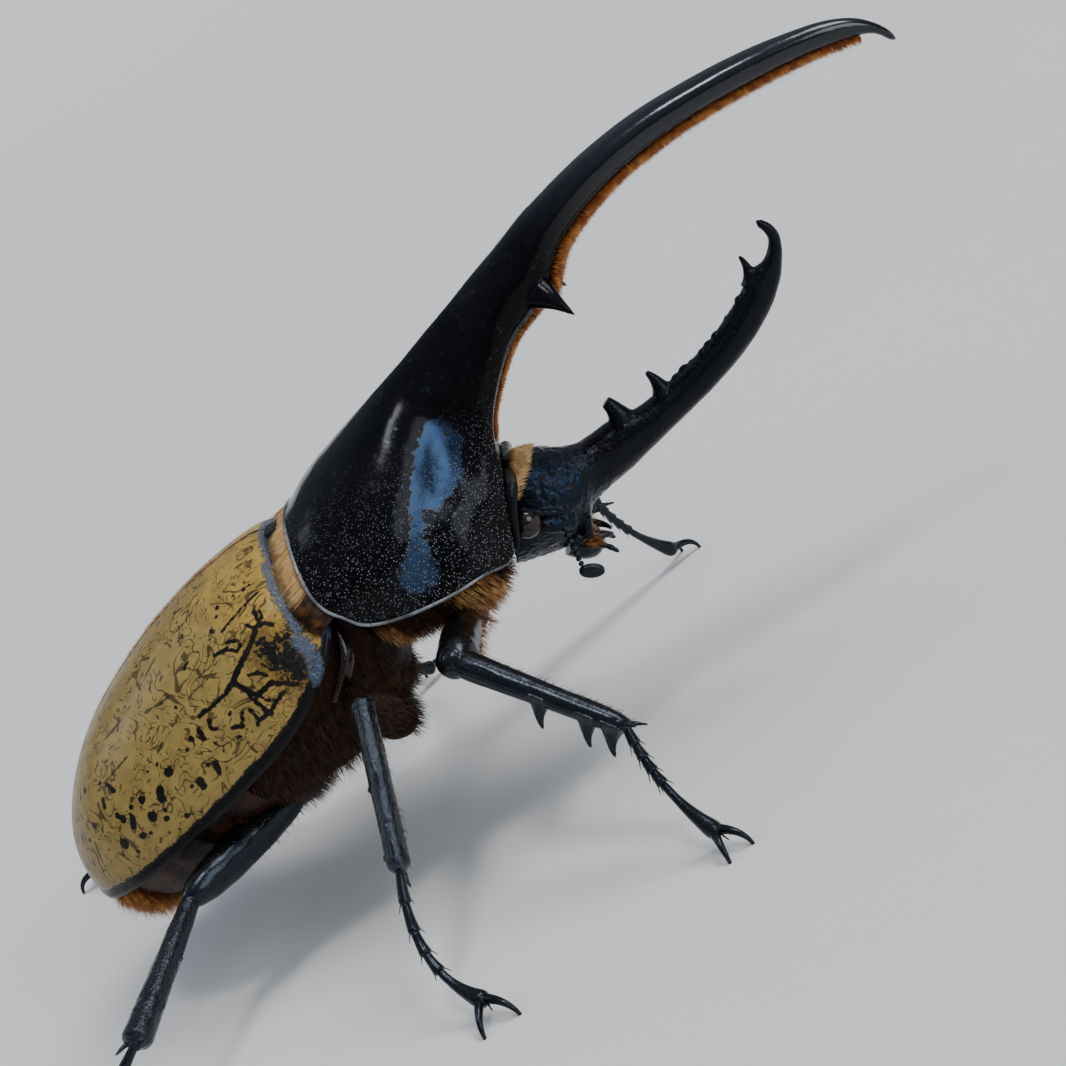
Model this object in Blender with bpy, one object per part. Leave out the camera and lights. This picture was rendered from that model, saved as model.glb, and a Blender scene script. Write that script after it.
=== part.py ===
"""A life-size rhinoceros beetle of the Hercules kind: a large horned male, standing on its six feet.

Sizes are millimetres in the body's own frame: +X towards the head along the wing-case margin, +Y to the
beetle's left, +Z up through its back.  An empty pitches the whole body nose up and lifts it onto the floor.
"""

import math
import random
from typing import NamedTuple

import bmesh
import bpy
from mathutils import Vector

MM = 0.001
GAP = 0.3
PITCH = math.radians(15.5)
BODY_HEIGHT = 29.62
CENTRE_SHIFT_X = 13.5
CENTRE_SHIFT_Y = 1.56
RIGHT, LEFT = -1, 1
SIDE_NAMES = {RIGHT: "right", LEFT: "left"}

SHELL_THICKNESS = 1.2
UNDER_SHELL = SHELL_THICKNESS + 0.4
SUTURE_GAP = 0.15
SHORTEST_EDGE = 0.05

COLLAR_FOOT = (-1.2, 3.0)
COLLAR_SLOPE = math.radians(51.5)

THORAX_REAR = -44.0
BODY_MIDDLE = -46.0

EYE_CENTRE = (3.0, 6.7, 3.9)
EYE_RADIUS = 1.75


class Section(NamedTuple):
    """A cross-section that spans the body: its top and bottom in the middle plane, and how wide and full it is."""

    top_x: float
    top_z: float
    bottom_x: float
    bottom_z: float
    half_width: float
    waist: float = 0.5
    top_power: float = 2.0
    bottom_power: float = 2.0


class Ring(NamedTuple):
    """A cross-section in space: its centre, the half-width vector, and how far it rises and falls."""

    centre: Vector
    across: Vector
    rise: Vector
    fall: Vector
    top_power: float = 2.0
    bottom_power: float = 2.0


class Leg(NamedTuple):
    """The joints of one leg, all as x, outward distance and z; the foot stands on the floor."""

    root: tuple
    hip: tuple
    knee: tuple
    ankle: tuple
    foot: tuple


def collar_point(along, ahead=0.0):
    """A point on the front plane of the pronotum, or a little way ahead of it, as x and z."""
    x = COLLAR_FOOT[0] + along * math.cos(COLLAR_SLOPE) + ahead * math.sin(COLLAR_SLOPE)
    z = COLLAR_FOOT[1] + along * math.sin(COLLAR_SLOPE) - ahead * math.cos(COLLAR_SLOPE)
    return x, z


# Pronotum, from its rear margin to the root of its horn
PRONOTUM = (
    Section(-20.5, 25.3, -20.5, 12.7, 16.6, 0.0, 2.2),
    Section(-15.0, 26.5, -15.0, 9.2, 17.6, 0.0, 2.15),
    Section(-8.5, 27.2, -9.5, 6.6, 17.4, 0.0, 2.0),
    Section(-2.0, 27.6, -4.9, 4.9, 15.6, 0.0, 1.8),
    Section(4.0, 27.9, *collar_point(0.0), 12.4, 0.0, 1.6),
    Section(9.0, 28.3, *collar_point(5.0), 10.2, 0.0, 1.55),
    Section(13.5, 28.7, *collar_point(10.0), 8.2, 0.0, 1.6),
    Section(17.5, 29.0, *collar_point(15.5), 6.6, 0.08, 1.8),
)

# Thoracic horn, from the pronotum to its tip
THORACIC_HORN = (
    PRONOTUM[-1],
    Section(21.5, 29.3, 16.4, 19.3, 5.6, 0.3),
    Section(25.8, 29.7, 24.2, 20.6, 5.0, 0.42),
    Section(30.5, 30.0, 30.0, 23.7, 4.2, 0.46),
    Section(38.5, 29.9, 38.0, 24.8, 3.6),
    Section(46.5, 28.9, 45.4, 24.3, 3.2),
    Section(54.5, 26.8, 53.0, 22.8, 2.9),
    Section(62.0, 24.2, 60.4, 20.6, 2.5),
    Section(68.5, 21.0, 66.8, 18.4, 2.0),
    Section(72.8, 17.9, 71.4, 16.5, 1.4),
    Section(75.3, 14.8, 74.3, 14.2, 0.8),
)
THORACIC_HORN_TIP = (75.8, 0.0, 12.2)
THORACIC_CUTS = (4, 6)
THORACIC_TOOTH_ROOT = (23.6, 3.6, 21.8)
THORACIC_TOOTH_BEND = (24.0, 6.6, 20.4)
THORACIC_TOOTH_TIP = (26.0, 8.2, 17.6)
THORACIC_TOOTH_RADIUS = 2.3
THORACIC_TOOTH_FLARE = 1.5

# Head, from the collar to the root of its horn
HEAD = (
    Section(*collar_point(9.3, GAP), *collar_point(-5.0, GAP), 6.2),
    Section(7.8, 8.2, -1.8, -3.4, 7.0),
    Section(10.3, 5.6, 1.4, -5.3, 6.8),
    Section(12.4, 4.2, 5.0, -5.7, 5.4),
    Section(14.0, 3.9, 8.0, -4.2, 4.1),
    Section(15.4, 3.7, 10.6, -2.9, 3.5),
)

# Cephalic horn, from the head to the end of its hook
CEPHALIC_HORN = (
    HEAD[-1],
    Section(17.2, 3.6, 14.6, -2.8, 3.2),
    Section(21.2, 2.3, 20.4, -3.4, 2.9),
    Section(25.6, 1.9, 25.6, -3.8, 2.7),
    Section(30.0, 1.0, 30.4, -3.7, 2.5),
    Section(35.0, 1.6, 36.2, -2.8, 2.3),
    Section(40.2, 3.0, 42.2, -0.6, 2.1),
    Section(44.0, 4.2, 46.4, 1.6, 1.7),
    Section(46.3, 5.6, 48.7, 4.0, 1.3),
    Section(47.7, 7.3, 49.3, 6.7, 0.8),
)
CEPHALIC_HORN_TIP = (48.2, 0.0, 8.3)
CEPHALIC_CUTS = (3, 6)
CEPHALIC_TEETH = (
    ((18.2, 2.6), (19.3, 5.2), 1.5),
    ((24.2, 1.2), (25.1, 4.5), 1.5),
    ((43.0, 3.0), (43.4, 6.3), 1.2),
)

# Underside of the prothorax, just below the pronotum
PROSTERNUM = (
    Section(-20.5, 12.4, -20.5, 3.4, 12.4, 1.0),
    Section(-15.0, 8.9, -15.0, 1.0, 13.2, 1.0),
    Section(-9.5, 6.3, -9.5, -1.2, 12.6, 1.0),
    Section(-4.9, 4.6, -6.6, -1.0, 10.8, 1.0),
    Section(*collar_point(-0.4), *collar_point(-3.6), 8.2, 1.0),
)

# Hind body: x, height of the wing-case margin, of the crest and of the belly, and half width
HIND_BODY = (
    (-23.0, 13.5, 25.6, -0.4, 14.8),
    (-25.5, 11.6, 26.6, -2.2, 17.0),
    (-30.0, 9.8, 27.3, -3.7, 18.6),
    (-36.0, 8.3, 27.7, -4.1, 19.5),
    (-44.0, 8.0, 27.3, -3.0, 20.0),
    (-52.0, 8.0, 26.0, -2.5, 19.8),
    (-59.0, 8.0, 24.1, -2.3, 18.6),
    (-65.0, 8.0, 21.2, -1.2, 16.2),
    (-70.0, 8.0, 17.4, 0.6, 12.2),
    (-72.8, 8.0, 13.4, 3.0, 7.6),
    (-74.1, 8.0, 10.2, 5.2, 3.8),
)
WING_CASE_TIP = (-74.6, 8.6)
THORAX_FRONT = (-20.8, 13.0, 25.2, 2.8, 14.6)

SCUTELLUM = (
    Section(-21.6, 25.0, -21.6, 24.0, 2.8, 0.0, 5.0),
    Section(-24.0, 25.7, -24.0, 24.55, 2.5, 0.0, 5.0),
    Section(-26.4, 26.4, -26.4, 25.3, 1.4, 0.0, 5.0),
    Section(-28.0, 26.8, -28.0, 25.8, 0.4, 0.0, 5.0),
)

LEGS = {
    ("fore", RIGHT): Leg((-10.1, 4.0, 2.6), (-12.2, 9.5, 0.9), (-12.6, 25.0, 2.3), (-1.5, 38.0, -13.7), (-1.0, 48.6)),
    ("fore", LEFT): Leg((-10.1, 4.0, 2.6), (-11.8, 9.5, 0.9), (-11.8, 25.0, 2.4), (1.8, 37.0, -13.6), (4.6, 46.5)),
    ("mid", RIGHT): Leg((-29.5, 4.0, -1.0), (-27.8, 9.5, -2.4), (-24.5, 25.2, 6.4), (-30.9, 42.0, -5.6), (-31.6, 57.6)),
    ("mid", LEFT): Leg((-29.5, 4.0, -1.0), (-28.2, 9.5, -2.4), (-25.6, 25.2, 6.2), (-34.0, 41.0, -5.4), (-38.0, 55.0)),
    ("hind", RIGHT): Leg((-42.5, 4.0, -1.0), (-44.6, 9.8, 0.3), (-58.2, 23.2, 4.1), (-67.6, 44.0, 2.2), (-90.0, 55.0)),
    ("hind", LEFT): Leg((-42.5, 4.0, -1.0), (-44.6, 9.8, 0.3), (-59.6, 23.4, 4.1), (-79.4, 38.0, 3.4), (-100.0, 48.0)),
}

# Along a limb: share of its length, half width and half depth
COXA_SHAPES = {
    "fore": ((0.0, 2.6, 2.6), (0.45, 3.3, 3.2), (0.85, 3.2, 3.0), (1.1, 2.5, 2.3), (1.28, 1.3, 1.2)),
    "mid": ((0.0, 2.6, 2.6), (0.45, 3.2, 3.2), (0.85, 3.0, 3.0), (1.1, 2.4, 2.3), (1.28, 1.3, 1.2)),
    "hind": ((0.0, 1.6, 3.4), (0.45, 2.0, 4.0), (0.85, 1.9, 3.6), (1.1, 1.6, 2.6), (1.28, 0.9, 1.4)),
}
FEMUR_SHAPES = {
    "fore": ((0.0, 1.6, 1.8), (0.12, 2.0, 2.4), (0.4, 2.3, 2.9), (0.75, 2.2, 2.7), (0.95, 1.9, 2.3), (1.06, 1.1, 1.4)),
    "mid": ((0.0, 1.5, 1.6), (0.12, 1.8, 2.1), (0.4, 2.1, 2.6), (0.75, 1.9, 2.3), (0.95, 1.5, 1.8), (1.05, 0.9, 1.1)),
    "hind": ((0.0, 1.4, 1.8), (0.12, 1.7, 2.5), (0.4, 1.9, 3.0), (0.75, 1.9, 2.8), (0.95, 1.7, 2.2), (1.05, 0.9, 1.3)),
}
TIBIA_SHAPES = {
    "fore": ((0.0, 1.0, 1.0), (0.1, 1.35, 1.3), (0.5, 1.5, 1.35), (0.85, 1.75, 1.4), (0.97, 1.7, 1.35), (1.0, 1.2, 1.0)),
    "mid": ((0.0, 0.9, 0.9), (0.1, 1.1, 1.1), (0.5, 1.2, 1.15), (0.85, 1.3, 1.2), (0.97, 1.4, 1.25), (1.0, 1.0, 0.9)),
    "hind": ((0.0, 1.0, 1.0), (0.1, 1.3, 1.25), (0.5, 1.65, 1.5), (0.85, 1.9, 1.7), (0.97, 2.0, 1.8), (1.0, 1.4, 1.3)),
}
TIBIA_TEETH = {
    "fore": (0.55, 0.84, 0.97),
    "mid": (0.5, 0.92),
    "hind": (0.46, 0.78),
}
TOOTH_LENGTHS = {"fore": 2.4, "mid": 1.3, "hind": 1.7}
SPUR_LENGTH = 3.0
OUTER_EDGES = {
    "fore": Vector((-0.69, 0.32, -0.65)),
    "mid": Vector((-0.86, 0.25, 0.45)),
    "hind": Vector((-0.5, 0.6, -0.62)),
}
TARSOMERE_SHARES = (0.19, 0.17, 0.16, 0.15, 0.33)
TARSUS_BASE_RADIUS = 0.55
TARSUS_END_RADIUS = 0.85
CLAW_RADIUS = 0.5
CLAW_TIP_RADIUS = 0.27
CLAW_REACH = 3.2
CLAW_SPREADS = {"fore": 1.8, "mid": 2.4, "hind": 2.0}
WRIST_HEIGHT = 2.1
CLAW_SINK = 0.3
TARSUS_LIFTS = {"fore": 0.6, "mid": 0.0, "hind": 1.0}
TARSUS_BOWS = {"fore": 2.4, "mid": 6.0, "hind": 0.0}

# Outward paths of a feeler and of its club
ANTENNA_PATH = ((4.6, 5.2, 1.4), (4.1, 8.0, -0.5), (3.1, 8.3, -3.7), (2.5, 8.3, -5.4))
ANTENNA_RADII = (0.55, 0.62, 0.42, 0.4)
CLUB_START = (2.1, 8.3, -5.1)
CLUB_END = (4.5, 8.3, -7.5)
CLUB_SHAPE = ((0.0, 0.5, 0.5), (0.2, 0.85, 0.95), (0.55, 0.95, 1.1), (0.85, 0.7, 0.8), (1.0, 0.3, 0.35))
MOUTH_START = (3.2, 0.0, -4.0)
MOUTH_END = (4.9, 0.0, -7.8)
MOUTH_SHAPE = ((0.0, 3.0, 2.6), (0.5, 3.0, 2.4), (0.85, 2.2, 1.7), (1.0, 1.1, 0.9))
PALP_PATH = ((4.6, 1.6, -6.4), (6.4, 2.6, -7.6), (7.2, 3.2, -9.4))
PALP_RADIUS = 0.42

# Locks of hair: flat and tapered, with their roots sunk into what carries them
LOCK_RADIUS = 1.1
LOCK_TIP = 0.3
LOCK_TAPER = 2.6
LOCK_FLATNESS = 0.5
LOCK_SINK = 1.0
LOCK_SEED = 7
BRUSH_PITCH = 1.75
BRUSH_REACH = 2.0
BRUSH_START_X = 24.6
BRUSH_END_MARGIN = 1.35
BRUSH_SIDE_SHARE = 0.22
ABDOMEN_PLATES = 6
PLATE_STEP = 0.35


def clear_scene():
    """Remove whatever the file held before."""
    for old in list(bpy.data.objects):
        bpy.data.objects.remove(old, do_unlink=True)


def spline_value(before, start, end, after, share):
    """A smooth value between start and end that also follows their neighbours."""
    slope_in, slope_out = (end - before) / 2, (after - start) / 2
    square, cube = share ** 2, share ** 3
    return (
        (2 * cube - 3 * square + 1) * start
        + (cube - 2 * square + share) * slope_in
        + (3 * square - 2 * cube) * end
        + (cube - square) * slope_out
    )


def refine(rows, steps):
    """The same rows with smooth ones put between them, so that each interval has the given number of steps."""
    kind = type(rows[0])
    last = len(rows) - 1
    fine = []
    for index in range(last):
        around = (rows[max(index - 1, 0)], rows[index], rows[index + 1], rows[min(index + 2, last)])
        for step in range(steps):
            values = [spline_value(*column, step / steps) for column in zip(*around)]
            fine.append(kind(*values) if kind is not tuple else tuple(values))
    fine.append(rows[last])
    return fine


def section_ring(section, grow=0.0):
    """A section as a ring in space, with its faces moved out by the growth."""
    top = Vector((section.top_x, 0.0, section.top_z))
    bottom = Vector((section.bottom_x, 0.0, section.bottom_z))
    upright = (top - bottom).normalized()
    centre = bottom.lerp(top, section.waist)
    return Ring(
        centre,
        Vector((0.0, section.half_width + grow, 0.0)),
        top - centre + upright * grow,
        bottom - centre - upright * grow,
        section.top_power,
        section.bottom_power,
    )


def ring_points(ring, upper, lower):
    """Points round a ring: the given numbers of steps over its upper and its lower half."""
    points = []
    for index in range(upper + lower):
        over_top = index < upper
        angle = math.pi * (index / upper if over_top else 1 + (index - upper) / lower)
        lift, power = (ring.rise, ring.top_power) if over_top else (ring.fall, ring.bottom_power)
        side = math.copysign(abs(math.cos(angle)) ** (2 / power), math.cos(angle))
        height = abs(math.sin(angle)) ** (2 / power)
        points.append(ring.centre + ring.across * side + lift * height)
    return points


def extrude_loop(bm, loop):
    """Extrude a closed loop of vertices and return the new loop in the same order."""
    edges = [bm.edges.get((loop[index - 1], loop[index])) for index in range(len(loop))]
    made = bmesh.ops.extrude_edge_only(bm, edges=edges)["geom"]
    fresh = {item for item in made if isinstance(item, bmesh.types.BMVert)}
    return [next(e.other_vert(v) for e in v.link_edges if e.other_vert(v) in fresh) for v in loop]


def new_object(name, bm):
    """An object from a closed mesh given in millimetres, with its faces turned outwards."""
    bmesh.ops.recalc_face_normals(bm, faces=bm.faces)
    bmesh.ops.scale(bm, vec=(MM, MM, MM), verts=bm.verts)
    mesh = bpy.data.meshes.new(name)
    bm.to_mesh(mesh)
    bm.free()
    thing = bpy.data.objects.new(name, mesh)
    bpy.context.scene.collection.objects.link(thing)
    return thing


def loft(name, rings, upper=8, lower=8, tip=None, grow=0.0):
    """A closed body through rings; its first end is flat, and its last is flat or drawn to a tip."""
    bm = bmesh.new()
    bmesh.ops.create_circle(bm, segments=upper + lower, radius=1.0)
    bm.verts.ensure_lookup_table()
    first_loop = list(bm.verts)
    loop = first_loop
    heading = (rings[0].centre - rings[1].centre).normalized()
    parting = (rings[-1].centre - rings[-2].centre).normalized()
    for index, ring in enumerate(rings):
        if index:
            loop = extrude_loop(bm, loop)
        shift = Vector()
        if index == 0:
            shift = heading * grow
        elif index == len(rings) - 1 and tip is None:
            shift = parting * grow
        for vertex, point in zip(loop, ring_points(ring, upper, lower)):
            vertex.co = point + shift
    bmesh.ops.contextual_create(bm, geom=first_loop)
    if tip is None:
        bmesh.ops.contextual_create(bm, geom=loop)
    else:
        loop = extrude_loop(bm, loop)
        bmesh.ops.pointmerge(bm, verts=loop, merge_co=Vector(tip) + parting * grow)
    return new_object(name, bm)


def limb_rings(start, end, shape, upright, grow=0.0):
    """Rings along a straight limb, whose depth lies along the upright direction."""
    along = end - start
    across = along.cross(upright).normalized()
    deep = across.cross(along).normalized()
    return [
        Ring(start + along * share, across * (width + grow), deep * (depth + grow), -deep * (depth + grow))
        for share, width, depth in shape
    ]


def curve_point(points, share):
    """A point on the smooth curve that starts and ends at the outer points and leans to the middle one."""
    start, bend, end = points
    return start * (1 - share) ** 2 + bend * 2 * share * (1 - share) + end * share ** 2


def thorn(name, points, radius, tip_radius, sides=6, steps=4, sharp=True, flatness=1.0, flare=1.0, taper=1.0):
    """A curved thorn, claw or lock: round or flat, tapering to its tip, with its root flared if asked."""
    start, bend, end = points
    across = (bend - start).cross(end - bend)
    if across.length < 0.01:
        across = (end - start).orthogonal()
    across.normalize()
    rings = []
    count = steps if sharp else steps + 1
    for index in range(count):
        share = index / steps
        heading = (curve_point(points, share + 0.05) - curve_point(points, share - 0.05)).normalized()
        size = radius + (tip_radius - radius) * share ** taper
        wide = across * size * (1 + (flare - 1) * (1 - share) ** 2)
        deep = across.cross(heading) * size * flatness
        rings.append(Ring(curve_point(points, share), wide, deep, -deep))
    half = sides // 2
    return loft(name, rings, half, sides - half, tip=end if sharp else None)


def mirrored(point, side):
    """A point given with its outward distance, set on the left or the right side."""
    return Vector((point[0], point[1] * side, point[2]))


def floor_height(x):
    """Height of the floor under the body frame's x."""
    return -(BODY_HEIGHT + x * math.sin(PITCH)) / math.cos(PITCH)


def keep_largest(mesh):
    """Drop every loose scrap of a mesh but its largest closed surface."""
    bm = bmesh.new()
    bm.from_mesh(mesh)
    bmesh.ops.dissolve_degenerate(bm, dist=0.002 * MM, edges=bm.edges)
    waiting = set(bm.verts)
    islands = []
    while waiting:
        island = {waiting.pop()}
        edge_of_island = set(island)
        while edge_of_island:
            edge_of_island = {e.other_vert(v) for v in edge_of_island for e in v.link_edges} - island
            island |= edge_of_island
        waiting -= island
        islands.append(island)
    kept = max(islands, key=len)
    bmesh.ops.delete(bm, geom=[v for v in bm.verts if v not in kept], context="VERTS")
    bm.to_mesh(mesh)
    bm.free()


def bake_modifiers(thing):
    """Apply the modifiers of an object and keep its largest closed surface."""
    depsgraph = bpy.context.evaluated_depsgraph_get()
    result = bpy.data.meshes.new_from_object(thing.evaluated_get(depsgraph))
    thing.modifiers.clear()
    old = thing.data
    thing.data = result
    bpy.data.meshes.remove(old)
    result.name = thing.name
    keep_largest(result)


def subtract(thing, cutters, solver="EXACT"):
    """Cut grown copies of its neighbours out of an object, and remove the copies."""
    for cutter in cutters:
        cutter.hide_render = True
        cutter.display_type = "WIRE"
        cut = thing.modifiers.new("clearance", "BOOLEAN")
        cut.operation = "DIFFERENCE"
        cut.solver = solver
        cut.object = cutter
    bake_modifiers(thing)
    for cutter in cutters:
        bpy.data.objects.remove(cutter, do_unlink=True)
    return thing


def fuse(thing, additions):
    """Join closed pieces to an object by one union on their collection, and remove the pieces."""
    group = bpy.data.collections.new("additions")
    bpy.context.scene.collection.children.link(group)
    for piece in additions:
        bpy.context.scene.collection.objects.unlink(piece)
        group.objects.link(piece)
    union = thing.modifiers.new("union", "BOOLEAN")
    union.operation = "UNION"
    union.operand_type = "COLLECTION"
    union.collection = group
    bake_modifiers(thing)
    for piece in additions:
        bpy.data.objects.remove(piece, do_unlink=True)
    bpy.data.collections.remove(group)
    return thing


def slice_off(thing, point, normal):
    """Cut away what lies beyond a plane and close the cut with flat faces."""
    bm = bmesh.new()
    bm.from_mesh(thing.data)
    everything = bm.verts[:] + bm.edges[:] + bm.faces[:]
    bmesh.ops.bisect_plane(bm, geom=everything, plane_co=point * MM, plane_no=normal, clear_outer=True)
    rim = [edge for edge in bm.edges if edge.is_boundary]
    bmesh.ops.holes_fill(bm, edges=rim)
    bmesh.ops.remove_doubles(bm, verts=bm.verts, dist=SHORTEST_EDGE * MM)
    bmesh.ops.recalc_face_normals(bm, faces=bm.faces)
    bm.to_mesh(thing.data)
    bm.free()
    return thing


def parted(rings, cuts):
    """Split a run of rings at the given places, with the touching gap at the start of each later length."""
    lengths = []
    start = 0
    for cut in (*cuts, len(rings) - 1):
        length = list(rings[start:cut + 1])
        if start:
            ahead = (length[1].centre - length[0].centre).normalized() * GAP
            length[0] = length[0]._replace(centre=length[0].centre + ahead)
        lengths.append(length)
        start = cut
    return lengths


def advance_first(rings):
    """The same rings, with the first moved on by the touching gap."""
    ahead = (rings[1].centre - rings[0].centre).normalized() * GAP
    return [rings[0]._replace(centre=rings[0].centre + ahead), *rings[1:]]


def build_pronotum():
    """The helmet-shaped shield over the prothorax."""
    rings = [section_ring(section) for section in refine(PRONOTUM, 2)]
    return [loft("pronotum", rings, 22, 2)]


def build_thoracic_horn():
    """The great horn in three lengths, the first with its pair of side teeth."""
    rings = advance_first([section_ring(section) for section in refine(THORACIC_HORN, 2)])
    base, shaft, tip = parted(rings, [2 * cut for cut in THORACIC_CUTS])
    horn_base = loft("thoracic_horn_base", base, 10, 8)
    teeth = []
    for side in (RIGHT, LEFT):
        path = [mirrored(point, side) for point in (THORACIC_TOOTH_ROOT, THORACIC_TOOTH_BEND, THORACIC_TOOTH_TIP)]
        teeth.append(thorn("tooth", path, THORACIC_TOOTH_RADIUS, 0.2, sides=8, flare=THORACIC_TOOTH_FLARE))
    fuse(horn_base, teeth + brush_locks(base, BRUSH_START_X))
    horn_shaft = loft("thoracic_horn_shaft", shaft, 8, 8)
    fuse(horn_shaft, brush_locks(shaft, shaft[0].centre.x))
    horn_tip = loft("thoracic_horn_tip", tip, 8, 8, tip=THORACIC_HORN_TIP)
    fuse(horn_tip, brush_locks(tip, tip[0].centre.x))
    return [horn_base, horn_shaft, horn_tip]


def lock(points):
    """One lock of hair: flat, as wide as its neighbours' spacing for most of its length, then tapered."""
    return thorn(
        "lock", points, LOCK_RADIUS, LOCK_TIP, sides=4, steps=3, flatness=LOCK_FLATNESS, taper=LOCK_TAPER
    )


def brush_locks(rings, start_x):
    """Locks of the brush under one length of the great horn, leaning out to each side in turn."""
    draw = random.Random(LOCK_SEED)
    spine = [ring.centre + ring.fall for ring in rings]
    locks = []
    travelled = -BRUSH_END_MARGIN
    for index in range(len(rings) - 1):
        stretch = spine[index + 1] - spine[index]
        if spine[index].x < start_x:
            continue
        while travelled + BRUSH_PITCH < stretch.length:
            travelled += BRUSH_PITCH
            share = travelled / stretch.length
            if index == len(rings) - 2 and stretch.length - travelled < BRUSH_END_MARGIN:
                break
            surface = spine[index].lerp(spine[index + 1], share)
            down = rings[index].fall.normalized()
            side = rings[index].across * BRUSH_SIDE_SHARE * (1 if len(locks) % 2 else -1)
            end = surface + side * 1.6 + down * BRUSH_REACH * draw.uniform(0.85, 1.1) + stretch.normalized() * 0.4
            locks.append(lock([surface + side - down * LOCK_SINK, surface + side * 0.7 + down * 0.4, end]))
        travelled -= stretch.length
    return locks


def hanging_locks(rings, shares, reach, lean):
    """Locks from the lower side of some rings, at shares of the half width, hanging down and bent outwards."""
    draw = random.Random(LOCK_SEED)
    locks = []
    for ring in rings:
        for share in shares:
            height = (1 - abs(share) ** ring.bottom_power) ** (1 / ring.bottom_power)
            surface = ring.centre + ring.across * share + ring.fall * height
            out = (ring.across.normalized() * share * 1.4 + ring.fall.normalized()).normalized()
            tip = surface + out * reach * draw.uniform(0.85, 1.15) + Vector(lean)
            locks.append(lock([surface - out * LOCK_SINK, surface + out * reach * 0.55, tip]))
    return locks


def head_block(name, grow=0.0):
    """The head without its eyes, as itself or grown to cut its neighbours."""
    rings = [section_ring(section, grow) for section in refine(HEAD, 2)]
    return loft(name, rings, 10, 10, grow=grow)


def eye_ball(name, side, grow=0.0):
    """One round eye."""
    bm = bmesh.new()
    bmesh.ops.create_uvsphere(bm, u_segments=12, v_segments=8, radius=EYE_RADIUS + grow)
    bmesh.ops.translate(bm, vec=mirrored(EYE_CENTRE, side), verts=bm.verts)
    return new_object(name, bm)


def build_head():
    """The head with a socket for each eye, and the eyes."""
    head = head_block("head")
    subtract(head, [eye_ball("socket", side, GAP) for side in (RIGHT, LEFT)])
    return [head] + [eye_ball("eye_" + SIDE_NAMES[side], side) for side in (RIGHT, LEFT)]


def build_cephalic_horn():
    """The head horn in three lengths, with the teeth on its upper edge."""
    rings = advance_first([section_ring(section) for section in refine(CEPHALIC_HORN, 2)])
    base, shaft, hook = parted(rings, [2 * cut for cut in CEPHALIC_CUTS])
    pieces = [
        loft("cephalic_horn_base", base, 7, 7),
        loft("cephalic_horn_shaft", shaft, 7, 7),
        loft("cephalic_horn_hook", hook, 7, 7, tip=CEPHALIC_HORN_TIP),
    ]
    for piece, (root, tip, radius) in zip((pieces[0], pieces[0], pieces[2]), CEPHALIC_TEETH):
        start, end = (Vector((x, 0.0, z)) for x, z in (root, tip))
        fuse(piece, [thorn("tooth", [start, start.lerp(end, 0.6), end], radius, 0.2)])
    return pieces


def build_antenna(side):
    """One elbowed feeler with its club, which meets the head."""
    path = [mirrored(point, side) for point in ANTENNA_PATH]
    rings = []
    for index, (centre, radius) in enumerate(zip(path, ANTENNA_RADII)):
        heading = (path[min(index + 1, 3)] - path[max(index - 1, 0)]).normalized()
        across = heading.cross(Vector((1.0, 0.0, 0.0))).normalized()
        deep = across.cross(heading)
        rings.append(Ring(centre, across * radius, deep * radius, -deep * radius))
    feeler = loft("antenna_" + SIDE_NAMES[side], rings, 4, 4)
    start, end = mirrored(CLUB_START, side), mirrored(CLUB_END, side)
    club = loft("club", limb_rings(start, end, CLUB_SHAPE, Vector((0.0, 0.0, 1.0))), 4, 4)
    fuse(feeler, [club])
    return subtract(feeler, [head_block("cutter", GAP)])


def build_mouthparts():
    """The jaws and palps below the head."""
    shape = limb_rings(Vector(MOUTH_START), Vector(MOUTH_END), MOUTH_SHAPE, Vector((1.0, 0.0, 0.0)))
    jaws = loft("mouthparts", shape, 6, 6)
    palps = []
    for side in (RIGHT, LEFT):
        path = [mirrored(point, side) for point in PALP_PATH]
        palps.append(thorn("palp", path, PALP_RADIUS, 0.3, sharp=False, steps=3))
    fuse(jaws, palps)
    return subtract(jaws, [head_block("cutter", GAP)])


def prosternum_block(name, grow=0.0):
    """The underside of the prothorax, as itself or grown to cut its neighbours."""
    rings = [section_ring(section, grow) for section in refine(PROSTERNUM, 2)]
    return loft(name, rings, 2, 16, grow=grow)


def build_prosternum():
    """The underside of the prothorax, with the locks that hang in front of the fore legs."""
    rings = [section_ring(section) for section in refine(PROSTERNUM, 2)]
    block = prosternum_block("prosternum")
    side_shares = (-0.9, -0.76, 0.76, 0.9)
    locks = hanging_locks(rings[5:8], side_shares, 2.8, (0.2, 0.0, -1.2))
    return fuse(block, locks)


def shrink_row(row, inset):
    """A row of the hind body drawn in towards the middle by about the inset."""
    x, margin, crest, belly, width = row
    share = 1 - inset / 20.0
    if x < BODY_MIDDLE:
        x = BODY_MIDDLE + (x - BODY_MIDDLE) * (1 - inset / 28.0)
    return x, margin, margin + (crest - margin) * share, belly, width * share


def dome_ring(row, grow=0.0, drop=None, bottom_power=1.6):
    """A row of the hind body as a ring whose widest place is the wing-case margin."""
    x, margin, crest, belly, width = row
    fall = margin - belly if drop is None else drop
    return Ring(
        Vector((x, 0.0, margin)),
        Vector((0.0, width + grow, 0.0)),
        Vector((0.0, 0.0, crest - margin + grow)),
        Vector((0.0, 0.0, -fall - grow)),
        2.1,
        bottom_power,
    )


def hind_rows(inset):
    """The rows of the hind body, smoothed and drawn in."""
    return [shrink_row(row, inset) for row in refine(HIND_BODY, 2)]


def scutellum_block(name, grow=0.0):
    """The small shield between the wing cases, before it is fitted to the thorax."""
    rings = [section_ring(section, grow) for section in SCUTELLUM]
    return loft(name, rings, 8, 2, grow=grow)


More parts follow.
